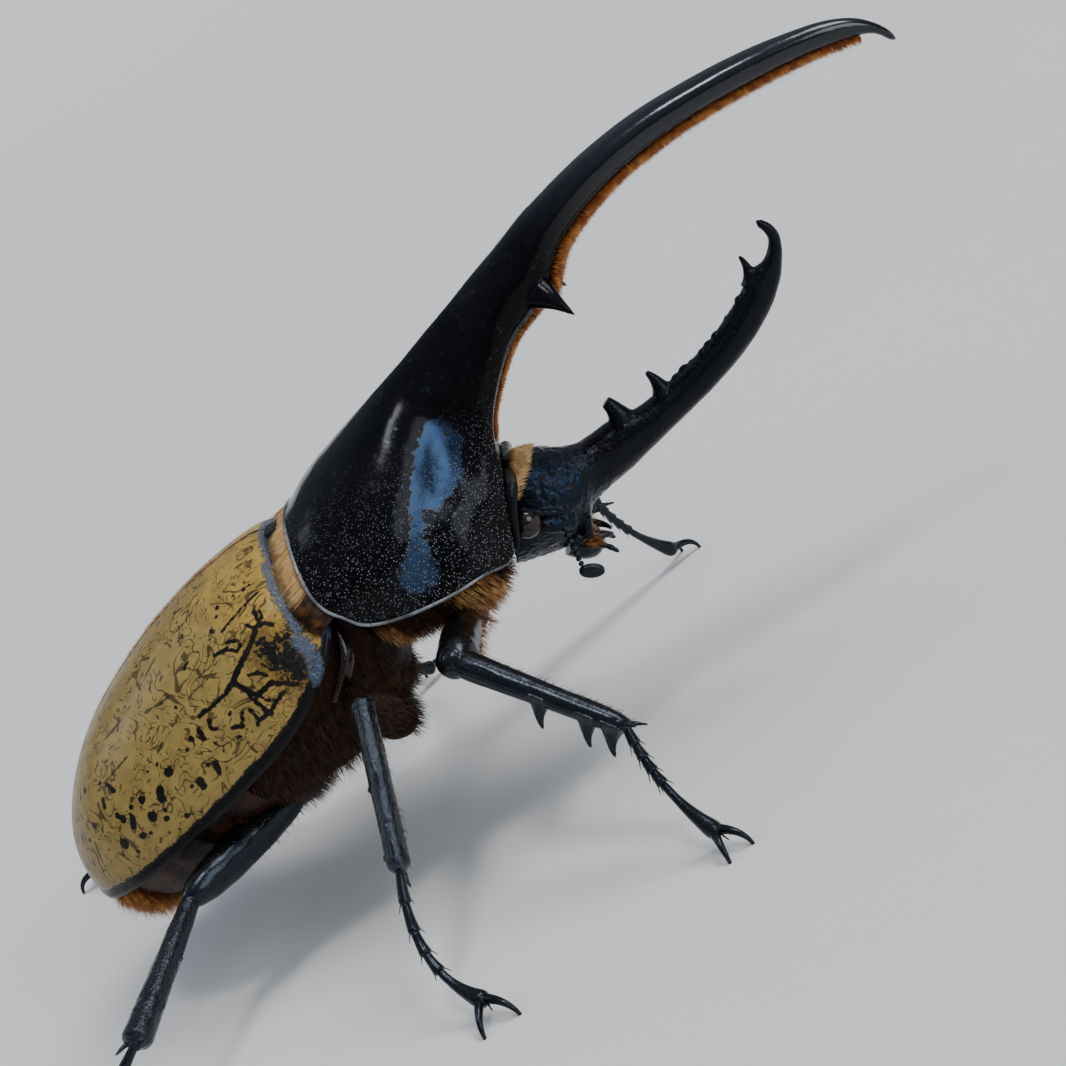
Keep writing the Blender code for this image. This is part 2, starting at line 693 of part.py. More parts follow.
def build_wing_case(side):
    """One wing case: a thin shell that wraps over the hind body and meets its partner along the back."""
    outer = [dome_ring(row, drop=0.0) for row in hind_rows(0.0)]
    tip = (WING_CASE_TIP[0], 0.0, WING_CASE_TIP[1])
    shell = loft("elytron_" + SIDE_NAMES[side], outer, 24, 2, tip=tip)
    slice_off(shell, Vector((0.0, SUTURE_GAP * side, 0.0)), Vector((0.0, -side, 0.0)))
    inner = [dome_ring(row, drop=3.0, bottom_power=12.0) for row in hind_rows(SHELL_THICKNESS)]
    inner.insert(0, inner[0]._replace(centre=inner[0].centre + Vector((4.0, 0.0, 0.0))))
    hollow = loft("hollow", inner, 24, 6)
    subtract(shell, [hollow])
    return subtract(shell, [scutellum_block("cutter", GAP)])


def thorax_block(name, grow=0.0):
    """The hairy middle of the body under the front of the wing cases."""
    rows = [row for row in hind_rows(UNDER_SHELL) if row[0] > THORAX_REAR]
    rear = shrink_row(next(row for row in HIND_BODY if row[0] == THORAX_REAR), UNDER_SHELL)
    rings = [dome_ring(row, grow) for row in (shrink_row(THORAX_FRONT, UNDER_SHELL), *rows, rear)]
    return loft(name, rings, 20, 12, grow=grow)


def abdomen_block(name, grow=0.0):
    """The hind end under the wing cases, with a step below at the edge of each belly plate."""
    start = THORAX_REAR - GAP
    front = shrink_row(next(row for row in HIND_BODY if row[0] == THORAX_REAR), UNDER_SHELL)
    rows = [(start, *front[1:])] + [row for row in hind_rows(UNDER_SHELL) if row[0] < THORAX_REAR - 1.0]
    rings = []
    for index, row in enumerate(rows):
        rings.append(dome_ring(row, grow))
        if index % 2 and index < 2 * ABDOMEN_PLATES:
            x, margin, crest, belly, width = row
            rings.append(dome_ring((x - PLATE_STEP, margin, crest, belly + PLATE_STEP, width), grow))
    return loft(name, rings, 20, 12, grow=grow)


def build_abdomen():
    """The hind end with the tuft of locks at its tip."""
    rings = [dome_ring(row) for row in hind_rows(UNDER_SHELL)[-4:-2]]
    return fuse(abdomen_block("abdomen"), hanging_locks(rings, (-0.7, -0.35, 0.0, 0.35, 0.7), 1.5, (-1.3, 0.0, 0.0)))


def coxa_block(name, pair, leg, side, grow=0.0):
    """The stout first joint of a leg, sunk into the body."""
    start, end = mirrored(leg.root, side), mirrored(leg.hip, side)
    return loft(name, limb_rings(start, end, COXA_SHAPES[pair], Vector((1.0, 0.0, 0.0)), grow), 5, 5, grow=grow)


def femur_block(name, pair, leg, side, grow=0.0):
    """The thigh of a leg."""
    start, end = mirrored(leg.hip, side), mirrored(leg.knee, side)
    return loft(name, limb_rings(start, end, FEMUR_SHAPES[pair], Vector((1.0, 0.0, 0.0)), grow), 5, 5, grow=grow)


def outer_edge(pair, along, side):
    """The direction in which a shin's teeth point, square to the shin."""
    edge = mirrored(OUTER_EDGES[pair], side)
    return (edge - along * edge.dot(along)).normalized()


def tibia_block(name, pair, leg, side, grow=0.0):
    """The shin of a leg without its teeth."""
    start, end = mirrored(leg.knee, side), mirrored(leg.ankle, side)
    edge = outer_edge(pair, (end - start).normalized(), side)
    return loft(name, limb_rings(start, end, TIBIA_SHAPES[pair], edge, grow), 5, 5, grow=grow)


def build_tibia(pair, leg, side):
    """The shin with its outer teeth and end spurs."""
    start, end = mirrored(leg.knee, side), mirrored(leg.ankle, side)
    along = (end - start).normalized()
    edge = outer_edge(pair, along, side)
    flat = along.cross(edge)
    length = TOOTH_LENGTHS[pair]
    shin = tibia_block("_".join((pair, "tibia", SIDE_NAMES[side])), pair, leg, side)
    thorns = []
    for share in TIBIA_TEETH[pair]:
        root = start.lerp(end, share) + edge * 0.4
        tip = root + (edge + along * 0.3) * length
        thorns.append(thorn("tooth", [root, root + edge * length * 0.6, tip], 0.85, 0.2, sides=5, steps=3))
    for lean in (-1, 1):
        root = end - along * 0.8 + flat * lean * 0.7
        tip = root + along * SPUR_LENGTH + flat * lean * 0.9 - edge * 0.8
        thorns.append(thorn("spur", [root, root.lerp(tip, 0.5) + flat * lean * 0.3, tip], 0.5, 0.2, sides=5, steps=3))
    fuse(shin, thorns)
    return subtract(shin, [femur_block("cutter", pair, leg, side, GAP)])


def build_tarsus(pair, leg, side):
    """The foot: five joints and a pair of claws that end in small flats on the floor."""
    start = mirrored(leg.ankle, side)
    foot = Vector((leg.foot[0], leg.foot[1] * side, floor_height(leg.foot[0])))
    floor_up = Vector((math.sin(PITCH), 0.0, math.cos(PITCH)))
    level = (foot - start) - floor_up * (foot - start).dot(floor_up)
    ahead = level.normalized()
    sideways = floor_up.cross(ahead)
    spread = CLAW_SPREADS[pair]
    wrist = foot - ahead * CLAW_REACH + floor_up * WRIST_HEIGHT
    bow = Vector((-TARSUS_BOWS[pair], 0.0, 0.0))
    path = (start, start.lerp(wrist, 0.55) + floor_up * TARSUS_LIFTS[pair] + bow, wrist)
    rings = []
    done = 0.0
    for share in TARSOMERE_SHARES:
        for part, size in ((0.04, TARSUS_BASE_RADIUS), (0.6, 0.7), (0.94, TARSUS_END_RADIUS)):
            place = done + share * part
            centre = curve_point(path, place)
            heading = (curve_point(path, place + 0.02) - curve_point(path, place - 0.02)).normalized()
            deep = heading.cross(sideways).normalized()
            rings.append(Ring(centre, sideways * size, deep * size, -deep * size))
        done += share
    toes = loft("_".join((pair, "tarsus", SIDE_NAMES[side])), rings, 4, 4)
    claws = []
    for lean in (-1, 1):
        root = wrist - (wrist - path[1]).normalized() * 0.6 + sideways * lean * 0.25
        tip = foot + sideways * lean * spread - floor_up * CLAW_SINK
        bend = wrist + ahead * CLAW_REACH * 1.0 + sideways * lean * spread * 0.9 + floor_up * 0.3
        claws.append(thorn("claw", [root, bend, tip], CLAW_RADIUS, CLAW_TIP_RADIUS, sides=6, steps=5, sharp=False))
    fuse(toes, claws)
    slice_off(toes, foot, -floor_up)
    return subtract(toes, [tibia_block("cutter", pair, leg, side, GAP)])


def body_cutters(pair):
    """Grown copies of the body nodes that a pair of legs comes close to."""
    if pair == "fore":
        return [prosternum_block("cutter", GAP)]
    return [thorax_block("cutter", GAP), abdomen_block("cutter", GAP)]


def build_leg(pair, side):
    """One whole leg in four nodes."""
    leg = LEGS[(pair, side)]
    tail = "_" + SIDE_NAMES[side]
    coxa = coxa_block(pair + "_coxa" + tail, pair, leg, side)
    femur = femur_block(pair + "_femur" + tail, pair, leg, side)
    subtract(coxa, body_cutters(pair), "MANIFOLD")
    subtract(femur, [coxa_block("cutter", pair, leg, side, GAP), *body_cutters(pair)], "MANIFOLD")
    return [coxa, femur, build_tibia(pair, leg, side), build_tarsus(pair, leg, side)]


def new_material(name, colour, roughness):
    """A plain finish: colour and roughness."""
    material = bpy.data.materials.new(name)
    material.use_nodes = True
    shader = material.node_tree.nodes["Principled BSDF"]
    shader.inputs["Base Color"].default_value = (*colour, 1.0)
    shader.inputs["Roughness"].default_value = roughness
    material.diffuse_color = (*colour, 1.0)
    return material


def finish_for(name):
    """Colour and roughness of a node, told by its name."""
    if name.startswith("elytron"):
        return (0.30, 0.23, 0.06), 0.25
    if name in ("prosternum", "thorax"):
        return (0.16, 0.07, 0.02), 0.7
    if name == "abdomen":
        return (0.09, 0.04, 0.02), 0.45
    if name.startswith("eye"):
        return (0.05, 0.03, 0.02), 0.1
    return (0.012, 0.012, 0.014), 0.2


def make_posture():
    """The empty that pitches the body and stands it on the floor."""
    posture = bpy.data.objects.new("posture", None)
    posture.location = (CENTRE_SHIFT_X * MM, CENTRE_SHIFT_Y * MM, BODY_HEIGHT * MM)
    posture.rotation_euler = (0.0, -PITCH, 0.0)
    bpy.context.scene.collection.objects.link(posture)
    return posture


def main():
    """Build every node, give it its finish and hang it on the posture."""
    clear_scene()
    nodes = build_pronotum() + build_thoracic_horn() + build_head() + build_cephalic_horn()
    nodes += [build_antenna(side) for side in (RIGHT, LEFT)]
    nodes += [build_mouthparts(), build_prosternum()]
    nodes += [subtract(scutellum_block("scutellum"), [thorax_block("cutter", GAP)])]
    nodes += [build_wing_case(side) for side in (RIGHT, LEFT)]
    nodes += [thorax_block("thorax"), build_abdomen()]
    for pair in ("fore", "mid", "hind"):
        for side in (RIGHT, LEFT):
            nodes += build_leg(pair, side)
    posture = make_posture()
    for node in nodes:
        node.parent = posture
        node.data.materials.clear()
        node.data.materials.append(new_material(node.name + "_finish", *finish_for(node.name)))
        node.data.shade_smooth()
        node.data.set_sharp_from_angle(angle=math.radians(40.0))


main()
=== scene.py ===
"""Looks of a life-size rhinoceros beetle of the Hercules kind, standing on a plain pale floor.

Shapes are modelled in millimetres in the body's own frame: +X towards the head along the wing-case
margin, +Y to the beetle's left, +Z up through its back.  Posture carries each finished mesh into the
row frame, so that every piece's object stays at the origin.
"""

import logging
import math
import random
from dataclasses import dataclass
from enum import Enum
from typing import Callable, NamedTuple, Optional, Sequence

import bmesh
import bpy
import numpy as np
from mathutils import Matrix, Vector, noise
from mathutils.bvhtree import BVHTree

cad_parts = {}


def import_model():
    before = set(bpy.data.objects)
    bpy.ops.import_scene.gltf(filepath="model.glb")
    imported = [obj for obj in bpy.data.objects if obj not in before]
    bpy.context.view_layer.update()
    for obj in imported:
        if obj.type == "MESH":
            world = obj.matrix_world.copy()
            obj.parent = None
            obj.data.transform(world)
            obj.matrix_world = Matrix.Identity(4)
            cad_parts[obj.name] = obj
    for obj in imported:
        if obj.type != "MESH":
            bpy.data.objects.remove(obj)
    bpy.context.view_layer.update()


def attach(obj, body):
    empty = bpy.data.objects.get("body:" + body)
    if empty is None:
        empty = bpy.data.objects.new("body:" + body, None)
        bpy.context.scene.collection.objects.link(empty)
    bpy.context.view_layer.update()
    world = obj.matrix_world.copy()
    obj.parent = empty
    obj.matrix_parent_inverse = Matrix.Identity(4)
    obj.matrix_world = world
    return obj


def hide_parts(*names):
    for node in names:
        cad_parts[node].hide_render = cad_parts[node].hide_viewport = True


LOG = logging.getLogger("beetle")
MM = 0.001
PER_MM = 1000.0
GAP = 0.3
COAT_MAP = "OFBake"
TAIL_X = -112.0
MAP_LENGTH = 196.0
MAP_AXIS_Z = 12.0
OTHER_SIDE = (1.0, -1.0, 1.0)
ROOT = "root"

Colour = tuple[float, float, float]
Triple = tuple[float, float, float]
Array = np.ndarray
Field = Callable[[Array, Array], Array]
Thing = bpy.types.Object
Surface = bmesh.types.BMesh
Material = bpy.types.Material
Socket = bpy.types.NodeSocket


class Side(Enum):
    """The two sides of the beetle, as the sign of its +Y axis."""

    RIGHT = -1
    LEFT = 1

    @property
    def word(self) -> str:
        """The side as it stands in a node's name."""
        return self.name.lower()

    def set(self, point: Triple) -> Vector:
        """A point given with its outward distance, set on this side."""
        return Vector((point[0], point[1] * self.value, point[2]))

    def path(self, points: Sequence[Triple]) -> list[Vector]:
        """Points set on this side."""
        return [self.set(point) for point in points]


class Pair(Enum):
    """The three pairs of legs."""

    FORE = "fore"
    MID = "mid"
    HIND = "hind"


class Slot(Enum):
    """The record's material slots."""

    BLACK = "black_shell"
    BROWN = "brown_shell"
    WING_CASE = "wing_case"
    EYE = "eye"
    HAIR = "hairy_underside"


class Section(NamedTuple):
    """A cross-section of the body: its top and bottom in the middle plane, and how wide and full it is."""

    top_x: float
    top_z: float
    bottom_x: float
    bottom_z: float
    half_width: float
    waist: float = 0.5
    top_power: float = 2.0
    bottom_power: float = 2.0


class Ring(NamedTuple):
    """A cross-section in space: its centre, the half-width vector, and how far it rises and falls."""

    centre: Vector
    across: Vector
    rise: Vector
    fall: Vector
    top_power: float = 2.0
    bottom_power: float = 2.0


@dataclass(frozen=True)
class Posture:
    """How the body stands over the floor: nose up by the pitch, and centred in plan."""

    pitch: float = math.radians(15.5)
    height: float = 29.62
    shift_x: float = 13.5
    shift_y: float = 1.56

    def frame(self) -> Matrix:
        """The body frame's axes and origin in the row frame, in metres."""
        place = Vector((self.shift_x, self.shift_y, self.height)) * MM
        return Matrix.Translation(place) @ Matrix.Rotation(-self.pitch, 4, "Y")

    def from_mm(self) -> Matrix:
        """The transform of a mesh in millimetres of the body frame into the row frame."""
        return self.frame() @ Matrix.Scale(MM, 4)

    def floor_z(self, x: float) -> float:
        """Height of the floor under the body frame's x, in millimetres."""
        return -(self.height + x * math.sin(self.pitch)) / math.cos(self.pitch)

    def floor_up(self) -> Vector:
        """The floor's upright direction in the body frame."""
        return Vector((math.sin(self.pitch), 0.0, math.cos(self.pitch)))


@dataclass(frozen=True)
class PhotoCamera:
    """The photograph's camera in the body frame, which also places marks seen at its pixels."""

    distance: float = 300.0
    azimuth: float = math.radians(12.0)
    elevation: float = math.radians(15.0)
    roll: float = math.radians(48.0)
    mm_per_pixel: float = 0.129
    image: float = 1066.0
    sensor: float = 36.0

    def axes(self) -> tuple[Vector, Vector, Vector]:
        """The camera's right, up and backward directions in the body frame."""
        back = Vector(
            (
                math.sin(self.azimuth) * math.cos(self.elevation),
                -math.cos(self.azimuth) * math.cos(self.elevation),
                math.sin(self.elevation),
            )
        )
        level = Vector((0.0, 0.0, 1.0)).cross(back).normalized()
        above = back.cross(level)
        right = level * math.cos(self.roll) - above * math.sin(self.roll)
        up = level * math.sin(self.roll) + above * math.cos(self.roll)
        return right, up, back

    def build(self, posture: Posture) -> Thing:
        """Make the camera and let the scene use it.

        Args:
            posture: How the body frame stands in the row frame.

        Returns:
            The camera object.
        """
        data = bpy.data.cameras.new("camera")
        data.sensor_width = self.sensor
        data.lens = self.sensor * (self.distance / self.mm_per_pixel) / self.image
        data.clip_start = 0.01
        data.clip_end = 20.0
        camera = bpy.data.objects.new("camera", data)
        bpy.context.scene.collection.objects.link(camera)
        right, up, back = self.axes()
        turn = Matrix((right, up, back)).transposed().to_4x4()
        camera.matrix_world = posture.frame() @ Matrix.Translation(back * self.distance * MM) @ turn
        bpy.context.scene.camera = camera
        return camera

    def ray(self, pixel_x: float, pixel_y: float) -> tuple[Vector, Vector]:
        """The start and direction of a pixel's line of sight, in millimetres of the body frame."""
        right, up, back = self.axes()
        focal = self.distance / self.mm_per_pixel
        half = self.image / 2
        aim = right * ((pixel_x - half) / focal) + up * ((half - pixel_y) / focal) - back
        return back * self.distance, aim.normalized()

    def hits(self, tree: BVHTree, pixels: Sequence[float]) -> Array:
        """Where the lines of sight of pixels, as x and y by turns, meet a surface; misses are left out."""
        found = [tree.ray_cast(*self.ray(*pixel))[0] for pixel in zip(pixels[::2], pixels[1::2])]
        return np.array([list(hit) for hit in found if hit is not None])


def spline_value(before: float, start: float, end: float, after: float, share: float) -> float:
    """A smooth value between start and end that also follows their neighbours."""
    slope_in, slope_out = (end - before) / 2, (after - start) / 2
    square, cube = share ** 2, share ** 3
    return (
        (2 * cube - 3 * square + 1) * start
        + (cube - 2 * square + share) * slope_in
        + (3 * square - 2 * cube) * end
        + (cube - square) * slope_out
    )


def refine(rows: Sequence, steps: int) -> list:
    """The same rows with smooth ones put between them.

    Args:
        rows: Sections or plain tuples of numbers.
        steps: How many steps each interval is given.

    Returns:
        The finer rows, of the same kind.
    """
    kind, last = type(rows[0]), len(rows) - 1
    fine = []
    for index in range(last):
        around = (rows[max(index - 1, 0)], rows[index], rows[index + 1], rows[min(index + 2, last)])
        for step in range(steps):
            values = [spline_value(*column, step / steps) for column in zip(*around)]
            fine.append(tuple(values) if kind is tuple else kind(*values))
    fine.append(rows[last])
    return fine


def section_ring(section: Section) -> Ring:
    """A section as a ring in space."""
    top = Vector((section.top_x, 0.0, section.top_z))
    bottom = Vector((section.bottom_x, 0.0, section.bottom_z))
    centre = bottom.lerp(top, section.waist)
    across = Vector((0.0, section.half_width, 0.0))
    return Ring(centre, across, top - centre, bottom - centre, section.top_power, section.bottom_power)


def ring_points(ring: Ring, upper: int, lower: int) -> list[Vector]:
    """Points round a ring: the given numbers of steps over its upper and its lower half."""
    points = []
    for index in range(upper + lower):
        over_top = index < upper
        angle = math.pi * (index / upper if over_top else 1 + (index - upper) / lower)
        lift, power = (ring.rise, ring.top_power) if over_top else (ring.fall, ring.bottom_power)
        side = math.copysign(abs(math.cos(angle)) ** (2 / power), math.cos(angle))
        height = abs(math.sin(angle)) ** (2 / power)
        points.append(ring.centre + ring.across * side + lift * height)
    return points


def extrude_loop(bm: Surface, loop: list) -> list:
    """Extrude a closed loop of vertices and return the new loop in the same order."""
    edges = [bm.edges.get((loop[index - 1], loop[index])) for index in range(len(loop))]
    made = bmesh.ops.extrude_edge_only(bm, edges=edges)["geom"]
    fresh = {item for item in made if isinstance(item, bmesh.types.BMVert)}
    return [next(e.other_vert(v) for e in v.link_edges if e.other_vert(v) in fresh) for v in loop]


def loft(rings: Sequence[Ring], upper: int, lower: int, tip: Optional[Triple] = None) -> Surface:
    """A closed body through rings.

    Args:
        rings: The cross-sections from the first end to the last.
        upper: Steps over the upper half of each ring.
        lower: Steps over its lower half.
        tip: Where the last end is drawn to a point, or None for a flat end.

    Returns:
        The mesh, in millimetres.
    """
    bm = bmesh.new()
    bmesh.ops.create_circle(bm, segments=upper + lower, radius=1.0)
    bm.verts.ensure_lookup_table()
    first_loop = list(bm.verts)
    loop = first_loop
    for index, ring in enumerate(rings):
        if index:
            loop = extrude_loop(bm, loop)
        for vertex, point in zip(loop, ring_points(ring, upper, lower)):
            vertex.co = point
    bmesh.ops.contextual_create(bm, geom=first_loop)
    if tip is None:
        bmesh.ops.contextual_create(bm, geom=loop)
    else:
        loop = extrude_loop(bm, loop)
        bmesh.ops.pointmerge(bm, verts=loop, merge_co=Vector(tip))
    bmesh.ops.recalc_face_normals(bm, faces=bm.faces)
    return bm


def limb_rings(
    start: Vector, end: Vector, shape: Sequence[Triple], upright: Vector, steps: int
) -> list[Ring]:
    """Smooth rings along a straight limb.

    Args:
        start: The limb's first end.
        end: Its last end.
        shape: Rows of share of the length, half width and half depth.
        upright: The direction in which its depth lies.
        steps: Steps between one row and the next.

    Returns:
        The rings.
    """
    along = end - start
    across = along.cross(upright).normalized()
    deep = across.cross(along).normalized()
    rings = []
    for share, width, depth in refine([tuple(row) for row in shape], steps):
        rings.append(Ring(start + along * share, across * width, deep * depth, -deep * depth))
    return rings


def curve_point(points: Sequence, share: float) -> Vector:
    """A point on the smooth curve between the outer points that leans to the middle one.

    Arrays of points may stand for the points.
    """
    start, bend, end = points
    return start * (1 - share) ** 2 + bend * 2 * share * (1 - share) + end * share ** 2


def curve_heading(points: Sequence[Vector], share: float, reach: float = 0.02) -> Vector:
    """The direction of that curve, taken from a little before the share to a little after it."""
    return (curve_point(points, share + reach) - curve_point(points, share - reach)).normalized()


@dataclass(frozen=True)
class Thorn:
    """A curved tooth, spine or claw that tapers to its tip."""

    radius: float
    tip_radius: float
    sides: int = 14
    steps: int = 10
    sharp: bool = True
    flatness: float = 1.0
    flare: float = 1.0
    taper: float = 1.0

    def mesh(self, start: Vector, bend: Vector, end: Vector) -> Surface:
        """The thorn from its sunk root round its bend to its tip."""
        across = (bend - start).cross(end - bend)
        if across.length < 0.01:
            across = (end - start).orthogonal()
        across.normalize()
        path = (start, bend, end)
        rings = []
        for index in range(self.steps if self.sharp else self.steps + 1):
            share = index / self.steps
            heading = curve_heading(path, share)
            size = self.radius + (self.tip_radius - self.radius) * share ** self.taper
            flared = 1 + (self.flare - 1) * (1 - share) ** 3
            wide = across * size * flared
            deep = across.cross(heading) * size * self.flatness * flared
            rings.append(Ring(curve_point(path, share), wide, deep, -deep))
        half = self.sides // 2
        return loft(rings, half, self.sides - half, tip=tuple(end) if self.sharp else None)


def ball(centre: Vector, radii: Triple, turn: Optional[Matrix] = None, fineness: int = 24) -> Surface:
    """An egg-shaped body with its half sizes along its own axes."""
    bm = bmesh.new()
    bmesh.ops.create_uvsphere(bm, u_segments=fineness, v_segments=fineness * 2 // 3, radius=1.0)
    bmesh.ops.scale(bm, vec=radii, verts=bm.verts)
    if turn is not None:
        bmesh.ops.rotate(bm, cent=(0.0, 0.0, 0.0), matrix=turn, verts=bm.verts)
    bmesh.ops.translate(bm, vec=centre, verts=bm.verts)
    return bm


def bead(
    path: Sequence[Vector], radius: float, sides: int = 10, ends: float = 0.35, swell: Sequence[float] = ()
) -> Surface:
    """A round bead along a path that thins towards both of its ends.

    Args:
        path: Points along the bead's middle.
        radius: Its radius along most of the path.
        sides: Faces round it.
        ends: Share of the radius that is left at each end.
        swell: What the radius is multiplied by at each point, where it varies.

    Returns:
        The mesh, in millimetres.
    """
    rings = []
    last = len(path) - 1
    across = (path[1] - path[0]).orthogonal().normalized()
    for index, centre in enumerate(path):
        heading = (path[min(index + 1, last)] - path[max(index - 1, 0)]).normalized()
        across = (across - heading * across.dot(heading)).normalized()
        deep = heading.cross(across)
        fullness = min(1.0, min(index, last - index) / last * 8) ** 0.5
        size = radius * (ends + (1 - ends) * fullness) * (swell[index] if swell else 1.0)
        rings.append(Ring(centre, across * size, deep * size, -deep * size))
    return loft(rings, sides // 2, sides - sides // 2)


def gather(parts: Sequence[Surface]) -> Surface:
    """All the parts in one mesh; the parts are used up."""
    whole = parts[0]
    for part in parts[1:]:
        carrier = bpy.data.meshes.new("carrier")
        part.to_mesh(carrier)
        part.free()
        whole.from_mesh(carrier)
        bpy.data.meshes.remove(carrier)
    return whole


def smooth_share(value: Array, low: float, high: float) -> Array:
    """0 below low, 1 above high, and smooth in between; the other way round when low is above high."""
    share = np.clip((value - low) / (high - low), 0.0, 1.0)
    return share * share * (3 - 2 * share)


def unit(vectors: Array) -> Array:
    """The rows of an array, each at length one."""
    return vectors / np.maximum(np.linalg.norm(vectors, axis=1, keepdims=True), 1e-9)


def path_distance(places: Array, path: Array) -> Array:
    """How far each place is from the nearest point of a path of one or more points."""
    nearest = np.full(len(places), np.inf)
    for start, end in zip(path, path[1:] if len(path) > 1 else path):
        run = end - start
        share = np.clip((places - start) @ run / max(run @ run, 1e-9), 0.0, 1.0)
        nearest = np.minimum(nearest, np.linalg.norm(places - start - share[:, None] * run, axis=1))
    return nearest


def vertex_array(mesh: bpy.types.Mesh, what: str) -> Array:
    """The places or normals of a mesh's vertices as rows of three."""
    values = np.empty(len(mesh.vertices) * 3, np.float32)
    mesh.vertices.foreach_get(what, values)
    return values.reshape(-1, 3).astype(float)


@dataclass(frozen=True)
class Finish:
    """A finish, whose material all of its pieces share."""

    name: str

    def make(self) -> Material:
        """The finish as a new material."""
        raise NotImplementedError

    def material(self) -> Material:
        """The finish's material, built on first use."""
        return bpy.data.materials.get(self.name) or self.make()


class Workshop:
    """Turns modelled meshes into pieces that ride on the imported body."""

    def __init__(self, posture: Posture) -> None:
        """Keep the posture that all pieces share."""
        self.posture = posture

    def thing(self, name: str, bm: Surface) -> Thing:
        """A new object from a mesh in millimetres, which is used up."""
        mesh = bpy.data.meshes.new(name)
        bm.to_mesh(mesh)
        bm.free()
        made = bpy.data.objects.new(name, mesh)
        bpy.context.scene.collection.objects.link(made)
        return made

    def bake(self, made: Thing) -> None:
        """Apply all the modifiers of an object."""
        depsgraph = bpy.context.evaluated_depsgraph_get()
        result = bpy.data.meshes.new_from_object(made.evaluated_get(depsgraph))
        made.modifiers.clear()
        old = made.data
        made.data = result
        bpy.data.meshes.remove(old)
        result.name = made.name

    def melt(self, made: Thing, voxel: float, rounds: int) -> None:
        """Fuse overlapping shells into one even skin.

        Args:
            made: The object, in millimetres.
            voxel: Size of the new skin's faces.
            rounds: Rounds of smoothing that round the joins.
        """
        remesh = made.modifiers.new("melt", "REMESH")
        remesh.mode = "VOXEL"
        remesh.voxel_size = voxel
        even = made.modifiers.new("even", "SMOOTH")
        even.factor = 0.5
        even.iterations = rounds
        self.bake(made)

    def press(self, made: Thing, lifts: Array) -> None:
        """Move each vertex along its normal by its own amount."""
        moved = vertex_array(made.data, "co") + vertex_array(made.data, "normal") * lifts[:, None]
        made.data.vertices.foreach_set("co", moved.astype(np.float32).ravel())
        made.data.update()

    def roughen(self, made: Thing, lift: Callable[[Vector], float]) -> None:
        """Move each vertex along its normal by what lift gives for its place."""
        self.press(made, np.array([lift(Vector(place)) for place in vertex_array(made.data, "co")]))

    def settle(
        self,
        made: Thing,
        finish: Finish,
        slot: Slot,
        replaced: Sequence[str] = (),
        sharp_over: Optional[float] = 40.0,
    ) -> Thing:
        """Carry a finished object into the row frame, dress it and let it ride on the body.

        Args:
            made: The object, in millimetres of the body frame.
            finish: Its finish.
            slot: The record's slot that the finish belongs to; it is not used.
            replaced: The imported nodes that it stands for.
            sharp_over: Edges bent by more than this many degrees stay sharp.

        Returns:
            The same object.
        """
        made.data.transform(self.posture.from_mm())
        made.data.materials.clear()
        made.data.materials.append(finish.material())
        made.data.shade_smooth()
        if sharp_over is not None:
            made.data.set_sharp_from_angle(angle=math.radians(sharp_over))
        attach(made, ROOT)
        if replaced:
            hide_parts(*replaced)
        LOG.info("%s: %d faces", made.name, len(made.data.polygons))
        return made


